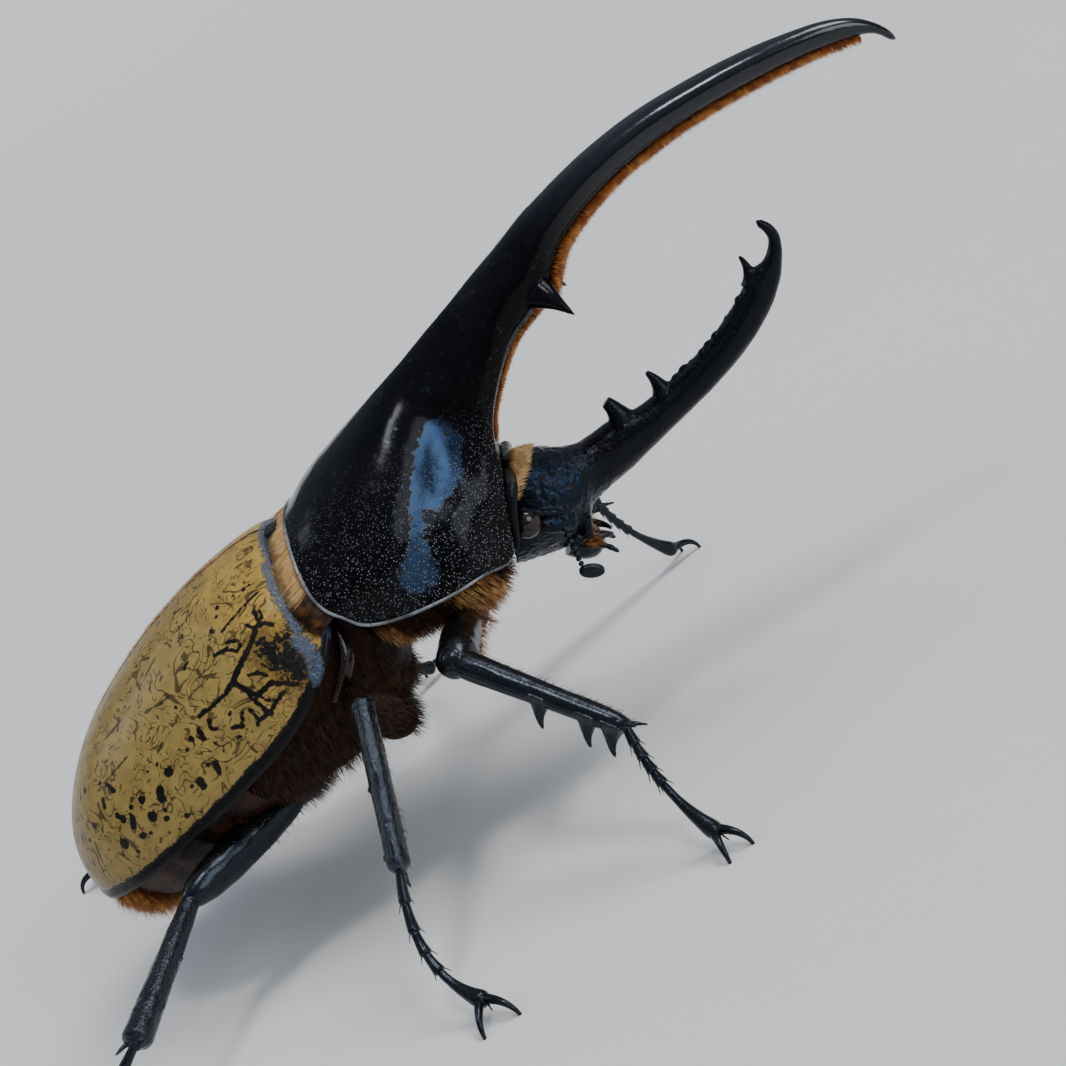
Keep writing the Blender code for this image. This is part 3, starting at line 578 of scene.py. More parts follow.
class Graph:
    """Short ways to add and join the nodes of one node tree."""

    def __init__(self, tree: bpy.types.NodeTree) -> None:
        """Keep the tree."""
        self.tree = tree

    def feed(self, socket: Socket, value: object) -> None:
        """Link a socket to another, or give it a plain value."""
        if isinstance(value, Socket):
            self.tree.links.new(value, socket)
        else:
            socket.default_value = value

    def add(self, kind: str, inputs: Optional[dict] = None, **settings: object) -> bpy.types.Node:
        """A new node with its inputs fed and its settings made."""
        node = self.tree.nodes.new(kind)
        for key, value in settings.items():
            setattr(node, key, value)
        for key, value in (inputs or {}).items():
            self.feed(node.inputs[key], value)
        return node

    def math(self, operation: str, first: object, second: object = 0.0) -> Socket:
        """The result of one sum."""
        return self.add("ShaderNodeMath", {0: first, 1: second}, operation=operation).outputs[0]

    def plus(self, base: object, value: object, share: float) -> Socket:
        """The base and a share of the value."""
        return self.math("ADD", base, self.math("MULTIPLY", value, share))

    def line(self, value: object, slope: float, start: float) -> Socket:
        """A start that grows with the value by the slope."""
        result = self.math("MULTIPLY_ADD", value, slope)
        result.node.inputs[2].default_value = start
        return result

    def step(self, value: object, low: float, high: float) -> Socket:
        """0 below low and 1 above high, smooth in between."""
        limits = {"Value": value, "From Min": low, "From Max": high}
        node = self.add("ShaderNodeMapRange", limits, interpolation_type="SMOOTHSTEP")
        return node.outputs["Result"]

    def fade(self, value: object, low: float, high: float) -> Socket:
        """1 below low and 0 above high, smooth in between."""
        return self.math("SUBTRACT", 1.0, self.step(value, low, high))

    def mix(self, share: object, first: object, second: object) -> Socket:
        """A colour between two others."""
        node = self.add("ShaderNodeMix", data_type="RGBA")
        self.feed(node.inputs[0], share)
        for index, value in ((6, first), (7, second)):
            self.feed(node.inputs[index], (*value, 1.0) if isinstance(value, tuple) else value)
        return node.outputs[2]

    def place(self) -> Socket:
        """The object coordinates of the surface, which are metres of the row frame."""
        return self.add("ShaderNodeTexCoord").outputs["Object"]

    def value_of(self, name: str) -> Socket:
        """The number that an attribute of the mesh holds."""
        return self.add("ShaderNodeAttribute", attribute_name=name).outputs["Fac"]

    def grain(self, place: object, size_mm: float, detail: float = 3.0, bend: float = 0.0) -> Socket:
        """Even noise whose features are about the given size."""
        inputs = {"Vector": place, "Scale": PER_MM / size_mm, "Detail": detail, "Distortion": bend}
        return self.add("ShaderNodeTexNoise", inputs).outputs[0]

    def wander(self, place: object, size_mm: float, detail: float) -> Socket:
        """The same noise, spread about 0."""
        return self.math("SUBTRACT", self.grain(place, size_mm, detail), 0.5)

    def axis_mm(self, place: object, axis: int) -> Socket:
        """One coordinate of the surface in millimetres."""
        parts = self.add("ShaderNodeSeparateXYZ", {"Vector": place})
        return self.math("MULTIPLY", parts.outputs[axis], PER_MM)

    def bump(self, shader: bpy.types.Node, height: object, strength: float, distance_mm: float) -> None:
        """Shade a surface as if it rose and fell with a height."""
        inputs = {"Strength": strength, "Distance": distance_mm * MM, "Height": height}
        self.feed(shader.inputs["Normal"], self.add("ShaderNodeBump", inputs).outputs["Normal"])


class Effect(Enum):
    """Surface effects that several finishes share, each a node group."""

    PUNCTURES = "punctures"
    WRINKLES = "wrinkles"
    MOTTLE = "mottle"

    def group(self) -> bpy.types.NodeTree:
        """The node group of this effect, built on first use."""
        found = bpy.data.node_groups.get(self.value)
        if found is not None:
            return found
        tree = bpy.data.node_groups.new(self.value, "ShaderNodeTree")
        tree.interface.new_socket("Place", in_out="INPUT", socket_type="NodeSocketVector")
        tree.interface.new_socket("Scale", in_out="INPUT", socket_type="NodeSocketFloat")
        tree.interface.new_socket("Amount", in_out="INPUT", socket_type="NodeSocketFloat")
        tree.interface.new_socket("Value", in_out="OUTPUT", socket_type="NodeSocketFloat")
        graph = Graph(tree)
        source = graph.add("NodeGroupInput")
        drain = graph.add("NodeGroupOutput")
        builder = {
            Effect.PUNCTURES: self.punctures,
            Effect.WRINKLES: self.wrinkles,
            Effect.MOTTLE: self.mottle,
        }[self]
        result = builder(graph, source.outputs["Place"], source.outputs["Scale"])
        graph.feed(drain.inputs["Value"], graph.math("MULTIPLY", result, source.outputs["Amount"]))
        return tree

    @staticmethod
    def punctures(graph: Graph, place: object, scale: object) -> Socket:
        """Small round pits of uneven size, 1 in their middles."""
        cells = graph.add("ShaderNodeTexVoronoi", {"Vector": place, "Scale": scale, "Randomness": 0.9})
        tint = graph.add("ShaderNodeSeparateColor", {"Color": cells.outputs["Color"]})
        reach = graph.line(tint.outputs[0], 0.16, 0.20)
        share = graph.math("DIVIDE", cells.outputs["Distance"], reach)
        return graph.fade(share, 0.35, 1.1)

    @staticmethod
    def wrinkles(graph: Graph, place: object, scale: object) -> Socket:
        """Rounded folds and lumps of two sizes."""
        inputs = {"Vector": place, "Scale": scale, "Detail": 4.0, "Roughness": 0.55, "Distortion": 0.6}
        return graph.add("ShaderNodeTexNoise", inputs).outputs[0]

    @staticmethod
    def mottle(graph: Graph, place: object, scale: object) -> Socket:
        """Soft patches that cover about half of the surface."""
        inputs = {"Vector": place, "Scale": scale, "Detail": 5.0, "Roughness": 0.6}
        noise_value = graph.add("ShaderNodeTexNoise", inputs).outputs[0]
        return graph.step(noise_value, 0.4, 0.62)

    def use(self, graph: Graph, place: object, size_mm: float, amount: float) -> Socket:
        """Place this effect in a material.

        Args:
            graph: The material's node tree.
            place: The coordinates it follows.
            size_mm: The size of its features.
            amount: What its value is multiplied by.

        Returns:
            The socket of its value.
        """
        node = graph.add("ShaderNodeGroup", node_tree=self.group())
        graph.feed(node.inputs["Place"], place)
        graph.feed(node.inputs["Scale"], PER_MM / size_mm)
        graph.feed(node.inputs["Amount"], amount)
        return node.outputs["Value"]


def new_shader(name: str, roughness: float, gloss: float) -> tuple[Material, Graph, bpy.types.Node]:
    """A new material with its node graph and its Principled shader."""
    material = bpy.data.materials.new(name)
    material.use_nodes = True
    shader = material.node_tree.nodes["Principled BSDF"]
    shader.inputs["Roughness"].default_value = roughness
    shader.inputs["Specular IOR Level"].default_value = gloss
    return material, Graph(material.node_tree), shader


@dataclass(frozen=True)
class ShellFinish(Finish):
    """Chitin: glossy, finely pitted and more or less wrinkled, with soft patches of a second colour."""

    colour: Colour
    patches: Colour
    roughness: float = 0.15
    pit_pitch: float = 0.5
    pit_depth: float = 0.35
    # The colour in the pits. Paler than the ground, as on the black shell and the legs, it is painted glints
    # in the pits; darker, it simply darkens them.
    pit_tone_and_glint: Colour = (0.03, 0.03, 0.034)
    pit_heights: tuple[float, float] = (900.0, 901.0)
    fold_size: float = 1.6
    fold_depth: float = 0.2
    gloss: float = 0.34
    # A bluish specular tint turns the lamps' highlights blue: a painted sky colour in the reflections. The
    # brown shell and the hide have warm tints of their own.
    tint: Colour = (0.66, 0.80, 1.0)
    # Sheen fields: where the sheen attribute is set, the specular tint turns blue and gloss and roughness
    # rise. The lamps' reflection there is real; its blue and its strength are a painted sheen.
    sheen: float = 0.0
    sheen_tint: Colour = (0.25, 0.50, 1.0)
    sheen_fray: float = 2.6
    sheen_roughness: float = 0.14
    far_gloss: float = 0.0
    far_x: tuple[float, float] = (25.0, 50.0)

    def make(self) -> Material:
        """The finish as a new material."""
        material, graph, shader = new_shader(self.name, self.roughness, self.gloss)
        place = graph.place()
        pitted = graph.fade(graph.axis_mm(place, 2), *self.pit_heights)
        pits = graph.math("MULTIPLY", Effect.PUNCTURES.use(graph, place, self.pit_pitch, 1.0), pitted)
        folds = Effect.WRINKLES.use(graph, place, self.fold_size, self.fold_depth)
        patch = Effect.MOTTLE.use(graph, place, 5.0, 1.0)
        ground = graph.mix(patch, self.colour, self.patches)
        # Base colour: the ground with the pit colour in the pits, which is a painted glint where it is paler.
        graph.feed(shader.inputs["Base Color"], graph.mix(pits, ground, self.pit_tone_and_glint))
        shader.inputs["Specular Tint"].default_value = (*self.tint, 1.0)
        # Painted sheen: a blue specular tint and more gloss where the sheen attribute lies.
        if self.sheen:
            frayed = graph.plus(graph.value_of("sheen"), graph.wander(place, 0.7, 4.0), self.sheen_fray)
            share = graph.step(frayed, 0.25, 0.85)
            graph.feed(shader.inputs["Specular Tint"], graph.mix(share, self.tint, self.sheen_tint))
            level = graph.line(share, self.sheen - self.gloss, self.gloss)
            far = graph.math("MULTIPLY", graph.step(graph.axis_mm(place, 0), *self.far_x), self.far_gloss)
            graph.feed(shader.inputs["Specular IOR Level"], graph.math("MAXIMUM", level, far))
            graph.feed(shader.inputs["Roughness"], graph.line(share, self.sheen_roughness, self.roughness))
        height = graph.math("ADD", graph.math("MULTIPLY", pits, -self.pit_depth), folds)
        graph.bump(shader, height, 0.9, 0.1)
        return material


@dataclass(frozen=True)
class WingCaseFinish(Finish):
    """The wing cases: glossy olive gold with black marks, rims and shoulders, brown squiggles, and a painted
    bluish sheen on the front lip.
    """

    name: str = "wing_case_gloss"
    olive: Colour = (0.290, 0.198, 0.058)
    gold: Colour = (0.42, 0.255, 0.052)
    tail: Colour = (0.225, 0.150, 0.090)
    black: Colour = (0.006, 0.005, 0.005)
    crack: Colour = (0.022, 0.012, 0.005)
    # The lip colour, its tint and its gloss paint a sheen: a bluish grey band along the front lip, glossier
    # and blue-tinted, standing in for the sky's reflection there.
    lip: Colour = (0.030, 0.042, 0.070)
    lip_sheen_tint: Colour = (0.62, 0.77, 1.0)
    cloud_share: float = 0.62
    roughness: float = 0.3
    gloss: float = 0.17
    lip_sheen_gloss: float = 0.83
    margin_width: float = 1.7
    suture_width: float = 0.4
    front_width: float = 0.35
    shoulder_width: float = 0.8

    def make(self) -> Material:
        """The finish as a new material."""
        material, graph, shader = new_shader(self.name, self.roughness, self.gloss)
        place = graph.place()
        ragged, jagged = graph.wander(place, 1.3, 5.0), graph.wander(place, 0.55, 3.0)
        cloud = graph.grain(place, 9.0, 3.0)
        front = graph.value_of("from_front")
        warm = graph.fade(graph.plus(front, cloud, 14.0), 8.0, 24.0)
        ground = graph.mix(warm, self.olive, self.gold)
        rear = graph.step(graph.plus(front, cloud, 8.0), 45.0, 58.0)
        ground = graph.mix(rear, ground, self.tail)
        clouded = tuple(part * self.cloud_share for part in self.olive)
        ground = graph.mix(Effect.MOTTLE.use(graph, place, 2.0, 0.5), ground, clouded)
        ground, streaks = self.squiggles(graph, place, ground)
        marks = graph.plus(graph.value_of("mark_distance"), jagged, 0.55)
        ground = graph.mix(graph.fade(marks, -0.06, 0.08), ground, self.black)
        smear = graph.plus(graph.value_of("shoulder_distance"), ragged, 3.4)
        smear = graph.plus(smear, jagged, 5.0)
        ground = graph.mix(graph.math("MULTIPLY", graph.fade(smear, 1.6, 4.0), 0.5), ground, self.crack)
        shoulder = graph.fade(smear, self.shoulder_width - 0.25, self.shoulder_width + 0.25)
        ground = graph.mix(shoulder, ground, self.black)
        for attribute, width, colour in (
            ("from_suture", self.suture_width, self.crack),
            ("from_front", self.front_width, self.black),
            ("from_margin", self.margin_width, self.black),
        ):
            edge = graph.plus(graph.value_of(attribute), ragged, 0.9)
            edge = graph.plus(edge, jagged, 0.7)
            ground = graph.mix(graph.fade(edge, width - 0.12, width + 0.12), ground, colour)
        # Painted sheen: the front lip, the rim before the shoulder and a band along the front edge turn
        # bluish grey, glossier and blue-tinted, like a reflected sky.
        lip = graph.plus(graph.value_of("lip_sheen_distance"), jagged, 1.4)
        lip = graph.fade(lip, 0.7, 1.3)
        edge = graph.plus(front, jagged, 1.6)
        lip = graph.math("MAXIMUM", lip, graph.fade(edge, 0.5, 1.1))
        ground = graph.mix(graph.math("MULTIPLY", lip, 0.9), ground, self.lip)
        graph.feed(shader.inputs["Base Color"], ground)
        graph.feed(shader.inputs["Specular IOR Level"], graph.line(lip, self.lip_sheen_gloss, self.gloss))
        graph.feed(shader.inputs["Specular Tint"], graph.mix(lip, (1.0, 1.0, 1.0), self.lip_sheen_tint))
        ripples = Effect.WRINKLES.use(graph, place, 2.2, 0.6)
        fine = Effect.WRINKLES.use(graph, place, 0.45, 0.14)
        rough_parts = graph.math("MAXIMUM", shoulder, lip)
        crinkle = graph.math("MULTIPLY", Effect.WRINKLES.use(graph, place, 0.6, 4.0), rough_parts)
        height = graph.math("ADD", graph.math("ADD", ripples, fine), crinkle)
        height = graph.math("SUBTRACT", height, graph.math("MULTIPLY", streaks, 0.35))
        graph.bump(shader, height, 0.8, 0.12)
        return material

    def squiggles(self, graph: Graph, place: object, ground: object) -> tuple[object, object]:
        """The ground under fine brown streaks that wander, break off and join, and the streaks' share."""
        bent = graph.plus(graph.value_of("vein_distance"), graph.wander(place, 1.6, 3.0), 1.1)
        veins = graph.fade(bent, 0.08, 0.2)
        total = graph.math("MULTIPLY", veins, 0.8)
        ground = graph.mix(total, ground, self.crack)
        for size_mm, levels, width, kept_size, kept_from, amount in (
            (7.0, 8.0, 0.13, 3.6, 0.47, 0.8),
            (3.6, 8.0, 0.18, 1.9, 0.51, 0.7),
        ):
            field = graph.math("MULTIPLY", graph.grain(place, size_mm, 2.5, 1.4), levels)
            level = graph.math("ABSOLUTE", graph.math("SUBTRACT", graph.math("FRACT", field), 0.5))
            line = graph.fade(level, width * 0.4, width)
            kept = graph.step(graph.grain(place, kept_size, 2.0), kept_from, kept_from + 0.05)
            share = graph.math("MULTIPLY", graph.math("MULTIPLY", line, kept), amount)
            ground = graph.mix(share, ground, self.crack)
            total = graph.math("MAXIMUM", total, share)
        return ground, total


@dataclass(frozen=True)
class HairFinish(Finish):
    """Hair of one colour range, darker at its roots, with each tuft a little different."""

    root: Colour
    tip: Colour
    dark: Colour

    def make(self) -> Material:
        """The finish as a new material."""
        material, graph, shader = new_shader(self.name, 0.42, 0.35)
        along = graph.step(graph.value_of("along"), 0.05, 0.8)
        colour = graph.mix(along, self.root, self.tip)
        tuft = graph.grain(graph.place(), 1.3, 2.0)
        colour = graph.mix(graph.fade(tuft, 0.42, 0.6), colour, self.dark)
        graph.feed(shader.inputs["Base Color"], colour)
        return material


@dataclass(frozen=True)
class EyeFinish(Finish):
    """A polished compound eye: dark brown, with the finest facets."""

    name: str = "eye_facets"
    colour: Colour = (0.020, 0.010, 0.007)
    patch: Colour = (0.005, 0.004, 0.004)
    facet_size: float = 0.12

    def make(self) -> Material:
        """The finish as a new material."""
        material, graph, shader = new_shader(self.name, 0.08, 0.4)
        place = graph.place()
        ground = graph.mix(Effect.MOTTLE.use(graph, place, 1.2, 1.0), self.colour, self.patch)
        graph.feed(shader.inputs["Base Color"], ground)
        cells = {"Vector": place, "Scale": PER_MM / self.facet_size, "Randomness": 0.2}
        facets = graph.add("ShaderNodeTexVoronoi", cells)
        graph.bump(shader, facets.outputs["Distance"], 0.25, 0.01)
        return material


@dataclass(frozen=True)
class FloorFinish(Finish):
    """A plain pale floor, faintly clouded."""

    name: str = "pale_floor"
    light: Colour = (0.76, 0.74, 0.71)
    deep: Colour = (0.73, 0.71, 0.68)

    def make(self) -> Material:
        """The finish as a new material."""
        material, graph, shader = new_shader(self.name, 0.65, 0.5)
        cloud = graph.grain(graph.place(), 60.0, 3.0)
        graph.feed(shader.inputs["Base Color"], graph.mix(cloud, self.light, self.deep))
        return material


WING_CASE = WingCaseFinish()
EYE = EyeFinish()
BLACK_SHELL = ShellFinish(
    "black_shell_pitted",
    (0.0025, 0.0025, 0.003),
    (0.004, 0.0035, 0.004),
    roughness=0.16,
    pit_pitch=0.30,
    # Pale grey in the pits of the lower parts: painted glints.
    pit_tone_and_glint=(0.22, 0.22, 0.23),
    pit_heights=(40.0, 53.0),
    fold_size=1.1,
    gloss=0.10,
    tint=(0.90, 0.94, 1.0),
    # sheen 1.0: the painted blue sheen of the trough patch.
    sheen=1.0,
    far_gloss=0.55,
)
# Pale grey margin bead: its colour is a painted highlight line along the black shield's edge.
RIM_HIGHLIGHT_SHELL = ShellFinish("shield_rim_gloss", (0.20, 0.20, 0.20), (0.05, 0.05, 0.05), roughness=0.18, gloss=0.6)
HEAD_SHELL = ShellFinish(
    "head_shell_rugose",
    (0.003, 0.003, 0.004),
    (0.004, 0.004, 0.005),
    roughness=0.17,
    pit_tone_and_glint=(0.004, 0.004, 0.005),
    fold_size=0.5,
    fold_depth=0.8,
    gloss=0.16,
    tint=(0.80, 0.90, 1.0),
    # sheen: the painted bluish sheen over the head.
    sheen=0.36,
)
LEG_SHELL = ShellFinish(
    "leg_shell_gloss",
    (0.003, 0.003, 0.0035),
    (0.006, 0.005, 0.005),
    roughness=0.17,
    # A pit colour a little paler than the ground: faint painted glints.
    pit_tone_and_glint=(0.008, 0.008, 0.009),
    fold_size=0.22,
    gloss=0.36,
)
ROUGH_LEG_SHELL = ShellFinish(
    "leg_shell_granular",
    (0.003, 0.003, 0.004),
    (0.007, 0.006, 0.006),
    roughness=0.14,
    pit_pitch=0.4,
    # A pit colour a little paler than the ground: faint painted glints.
    pit_tone_and_glint=(0.010, 0.010, 0.011),
    fold_size=0.38,
    fold_depth=1.3,
    gloss=0.5,
)
BROWN_SHELL = ShellFinish(
    "brown_shell_gloss",
    (0.016, 0.006, 0.004),
    (0.005, 0.003, 0.0025),
    pit_depth=0.2,
    fold_size=0.5,
    tint=(1.0, 0.92, 0.9),
)
BELLY_SHELL = ShellFinish(
    "belly_plates",
    (0.036, 0.014, 0.006),
    (0.006, 0.003, 0.003),
    roughness=0.32,
    pit_pitch=0.9,
    pit_tone_and_glint=(0.006, 0.004, 0.003),
    fold_size=0.9,
    fold_depth=0.5,
    gloss=0.15,
)
HIDE = ShellFinish(
    "hairy_hide",
    (0.022, 0.010, 0.006),
    (0.008, 0.004, 0.003),
    roughness=0.5,
    fold_size=0.6,
    fold_depth=1.0,
    gloss=0.04,
    tint=(1.0, 0.9, 0.85),
)
PALE_HAIR = HairFinish("pale_gold_hair", (0.42, 0.21, 0.065), (0.88, 0.60, 0.28), (0.60, 0.36, 0.14))
GOLDEN_HAIR = HairFinish("golden_hair", (0.34, 0.15, 0.04), (0.76, 0.45, 0.17), (0.34, 0.15, 0.045))
ORANGE_HAIR = HairFinish("orange_hair", (0.26, 0.075, 0.012), (0.62, 0.26, 0.05), (0.24, 0.075, 0.015))
BRUSH_HAIR = HairFinish("brush_hair", (0.13, 0.030, 0.006), (0.66, 0.27, 0.055), (0.30, 0.08, 0.015))
BROWN_HAIR = HairFinish("brown_hair", (0.05, 0.020, 0.008), (0.22, 0.095, 0.03), (0.04, 0.018, 0.008))
DARK_BRISTLE = HairFinish("dark_bristle", (0.02, 0.009, 0.005), (0.09, 0.036, 0.014), (0.02, 0.009, 0.005))


def write_field(made: Thing, name: str, values: Array) -> None:
    """Store one number for each vertex, for the materials to read."""
    layer = made.data.attributes.new(name, "FLOAT", "POINT")
    layer.data.foreach_set("value", values.astype(np.float32))


@dataclass(frozen=True)
class Roots:
    """Where hairs grow: places on a skin and the skin's normals there."""

    places: Array
    normals: Array

    def part(self, start: int, stop: int) -> "Roots":
        """The roots from one index to another."""
        return Roots(self.places[start:stop], self.normals[start:stop])


def scatter(made: Thing, per_mm2: float, weight: Field, seed: int) -> Roots:
    """Random roots on an object's skin.

    Args:
        made: The object, in millimetres.
        per_mm2: Hairs on each square millimetre where the weight is 1.
        weight: Gives the weight from 0 to 1 for places and normals.
        seed: Seed of the random draws.

    Returns:
        The roots.
    """
    mesh = made.data
    mesh.calc_loop_triangles()
    corners = np.empty(len(mesh.loop_triangles) * 3, np.int32)
    mesh.loop_triangles.foreach_get("vertices", corners)
    corners = corners.reshape(-1, 3)
    places = vertex_array(mesh, "co")[corners]
    normals = vertex_array(mesh, "normal")[corners]
    area = np.linalg.norm(np.cross(places[:, 1] - places[:, 0], places[:, 2] - places[:, 0]), axis=1) / 2
    wanted = area * np.clip(weight(places.mean(axis=1), unit(normals.mean(axis=1))), 0.0, 1.0)
    count = int(wanted.sum() * per_mm2)
    draw = np.random.default_rng(seed)
    chosen = draw.choice(len(corners), count, p=wanted / wanted.sum())
    first, second = draw.random((2, count))
    over = first + second > 1
    first[over], second[over] = 1 - first[over], 1 - second[over]
    shares = np.stack([1 - first - second, first, second], axis=1)[:, :, None]
    return Roots((places[chosen] * shares).sum(axis=1), unit((normals[chosen] * shares).sum(axis=1)))


def unwrap(places: Array) -> Array:
    """Where places of the body lie when its skin is unrolled about its long axis."""
    along = (places[:, 0] - TAIL_X) / MAP_LENGTH
    around = np.arctan2(places[:, 1], places[:, 2] - MAP_AXIS_Z) / (2 * math.pi) + 0.5
    return np.stack([along, 0.01 + 0.98 * around], axis=1)


@dataclass(frozen=True)
class HairStyle:
    """How hairs of one kind look: sizes in millimetres, the rest as shares."""

    length: float
    radius: float = 0.05
    spread: float = 0.25
    lift: float = 0.5
    droop: float = 0.4
    wave: float = 0.15
    clump: float = 0.0
    sink: float = 0.15

    SIDES = 3
    LEVELS = ((0.0, 1.0), (0.55, 0.85))
    PATCH = 0.003

    def mesh(self, name: str, roots: Roots, comb: Array, seed: int) -> Thing:
        """Closed, tapered hairs as one object.

        Args:
            name: The object's name.
            roots: Where they grow.
            comb: The direction in which each lies.
            seed: Seed of the random draws.

        Returns:
            The object, in millimetres.
        """
        draw = np.random.default_rng(seed)
        count = len(roots.places)
        length = self.length * (1 + draw.normal(0.0, self.spread, (count, 1))).clip(0.35, 1.6)
        each = (count, 3)
        rise = unit(roots.normals * self.lift + comb * (1 - self.lift) + draw.normal(0, self.wave, each))
        lay = unit(rise * (1 - self.droop) + comb * self.droop + draw.normal(0, self.wave, each))
        start = roots.places - rise * self.sink
        bend = start + rise * length * 0.5
        end = bend + lay * length * 0.5
        if self.clump:
            middle = (np.floor(roots.places / self.clump) + 0.5) * self.clump
            pull = middle - roots.places
            pull -= roots.normals * (pull * roots.normals).sum(axis=1, keepdims=True)
            end = end + pull * 0.55
        across = unit(np.cross(rise, draw.normal(0, 1, each)))
        over = np.cross(rise, across)
        verts, along = [], []
        for share, size in self.LEVELS:
            centre = curve_point((start, bend, end), share)
            for corner in range(self.SIDES):
                angle = 2 * math.pi * corner / self.SIDES
                outward = across * math.cos(angle) + over * math.sin(angle)
                verts.append(centre + outward * self.radius * size)
                along.append(share)
        verts.append(end)
        along.append(1.0)
        return self.fill(name, np.stack(verts, axis=1), np.array(along), unwrap(roots.places))

    def fill(self, name: str, verts: Array, along: Array, patches: Array) -> Thing:
        """The hairs' vertices as a mesh with its faces, its place on the unrolled skin and its attribute."""
        count, per_hair = verts.shape[:2]
        faces = [(2, 1, 0)]
        for level in range(len(self.LEVELS) - 1):
            for corner in range(self.SIDES):
                low, high = level * self.SIDES, (level + 1) * self.SIDES
                after = (corner + 1) % self.SIDES
                faces.append((low + corner, low + after, high + after))
                faces.append((low + corner, high + after, high + corner))
        top, tip = (len(self.LEVELS) - 1) * self.SIDES, per_hair - 1
        faces += [(top + corner, top + (corner + 1) % self.SIDES, tip) for corner in range(self.SIDES)]
        pattern = np.array(faces)
        corners = (pattern[None] + (np.arange(count) * per_hair)[:, None, None]).reshape(-1)
        mesh = bpy.data.meshes.new(name)
        mesh.vertices.add(count * per_hair)
        mesh.vertices.foreach_set("co", verts.astype(np.float32).ravel())
        mesh.loops.add(len(corners))
        mesh.loops.foreach_set("vertex_index", corners.astype(np.int32))
        mesh.polygons.add(len(corners) // 3)
        mesh.polygons.foreach_set("loop_start", np.arange(0, len(corners), 3, dtype=np.int32))
        within = np.array([((index % self.SIDES - 1) / 2, share - 0.5) for index, share in enumerate(along)])
        spots = patches[:, None, :] + within[None] * self.PATCH
        layer = mesh.uv_layers.new(name=COAT_MAP)
        layer.data.foreach_set("uv", spots.reshape(-1, 2)[corners].astype(np.float32).ravel())
        mesh.update(calc_edges=True)
        mesh.validate()
        made = bpy.data.objects.new(name, mesh)
        bpy.context.scene.collection.objects.link(made)
        write_field(made, "along", np.tile(along, count))
        return made


class Coat:
    """Grows the hair of every part and lets it ride on the body."""

    MOST_HAIRS = 12000

    def __init__(self, shop: Workshop) -> None:
        """Keep the workshop, and count the faces."""
        self.shop = shop
        self.total = 0

    def grow(
        self, name: str, roots: Roots, comb: Field, style: HairStyle, finish: HairFinish, seed: int
    ) -> None:
        """Grow one coat, in as many pieces as it needs.

        Args:
            name: The name of its pieces.
            roots: Where its hairs grow.
            comb: The direction in which they lie, for places and normals.
            style: Their shape.
            finish: Their colours.
            seed: Seed of the random draws.
        """
        count = len(roots.places)
        lay = unit(comb(roots.places, roots.normals))
        for number, start in enumerate(range(0, count, self.MOST_HAIRS)):
            stop = min(start + self.MOST_HAIRS, count)
            title = name if count <= self.MOST_HAIRS else f"{name}_{number + 1}"
            made = style.mesh(title, roots.part(start, stop), lay[start:stop], seed + number)
            self.shop.settle(made, finish, Slot.HAIR, sharp_over=None)
            self.total += len(made.data.polygons)

    def cover(
        self,
        made: Thing,
        name: str,
        per_mm2: float,
        weight: Field,
        comb: Field,
        style: HairStyle,
        finish: HairFinish,
        seed: int,
    ) -> None:
        """Scatter roots over an object's skin and grow a coat there.

        Args:
            made: The object, in millimetres.
            name: The name of the coat's pieces.
            per_mm2: Hairs on each square millimetre where the weight is 1.
            weight: Where they grow.
            comb: The direction in which they lie.
            style: Their shape.
            finish: Their colours.
            seed: Seed of the roots' random draws; the hairs' is the next.
        """
        self.grow(name, scatter(made, per_mm2, weight, seed), comb, style, finish, seed + 1)


def toward(direction: Sequence[float]) -> Field:
    """A comb that lays every hair in one direction."""
    aim = np.array(tuple(direction), float)
    return lambda places, normals: np.tile(aim, (len(places), 1))


def splayed(direction: Triple) -> Field:
    """A comb that lays every hair in one direction whose y counts outwards on both sides."""

    def comb(places: Array, normals: Array) -> Array:
        """The direction, turned to each place's side."""
        even = np.ones(len(places))
        return np.stack([even, np.sign(places[:, 1]), even], axis=1) * direction

    return comb


def facing(direction: Sequence[float], start: float, full: float) -> Field:
    """A weight that rises from 0 to 1 as the skin turns towards a direction."""
    aim = np.array(direction)
    return lambda places, normals: smooth_share(normals @ aim, start, full)


class Measure(Enum):
    """What a weight may depend on: a column of the places or, from 3 up, of the normals."""

    X = 0
    OUT = 1
    Z = 2
    FACING_OUT = 4
    FACING_UP = 5

    def of(self, places: Array, normals: Array) -> Array:
        """The measure of each place, with y taken outwards on both sides."""
        column = (places, normals)[self.value // 3][:, self.value % 3]
        return np.abs(column) if self in (Measure.OUT, Measure.FACING_OUT) else column


def zone(*gates: tuple[Measure, float, float]) -> Field:
    """A weight that is 1 where every measure is past the second of its two values, and 0 before the first."""

    def weight(places: Array, normals: Array) -> Array:
        """The product of the gates."""
        return np.prod([smooth_share(measure.of(places, normals), *ends) for measure, *ends in gates], axis=0)

    return weight


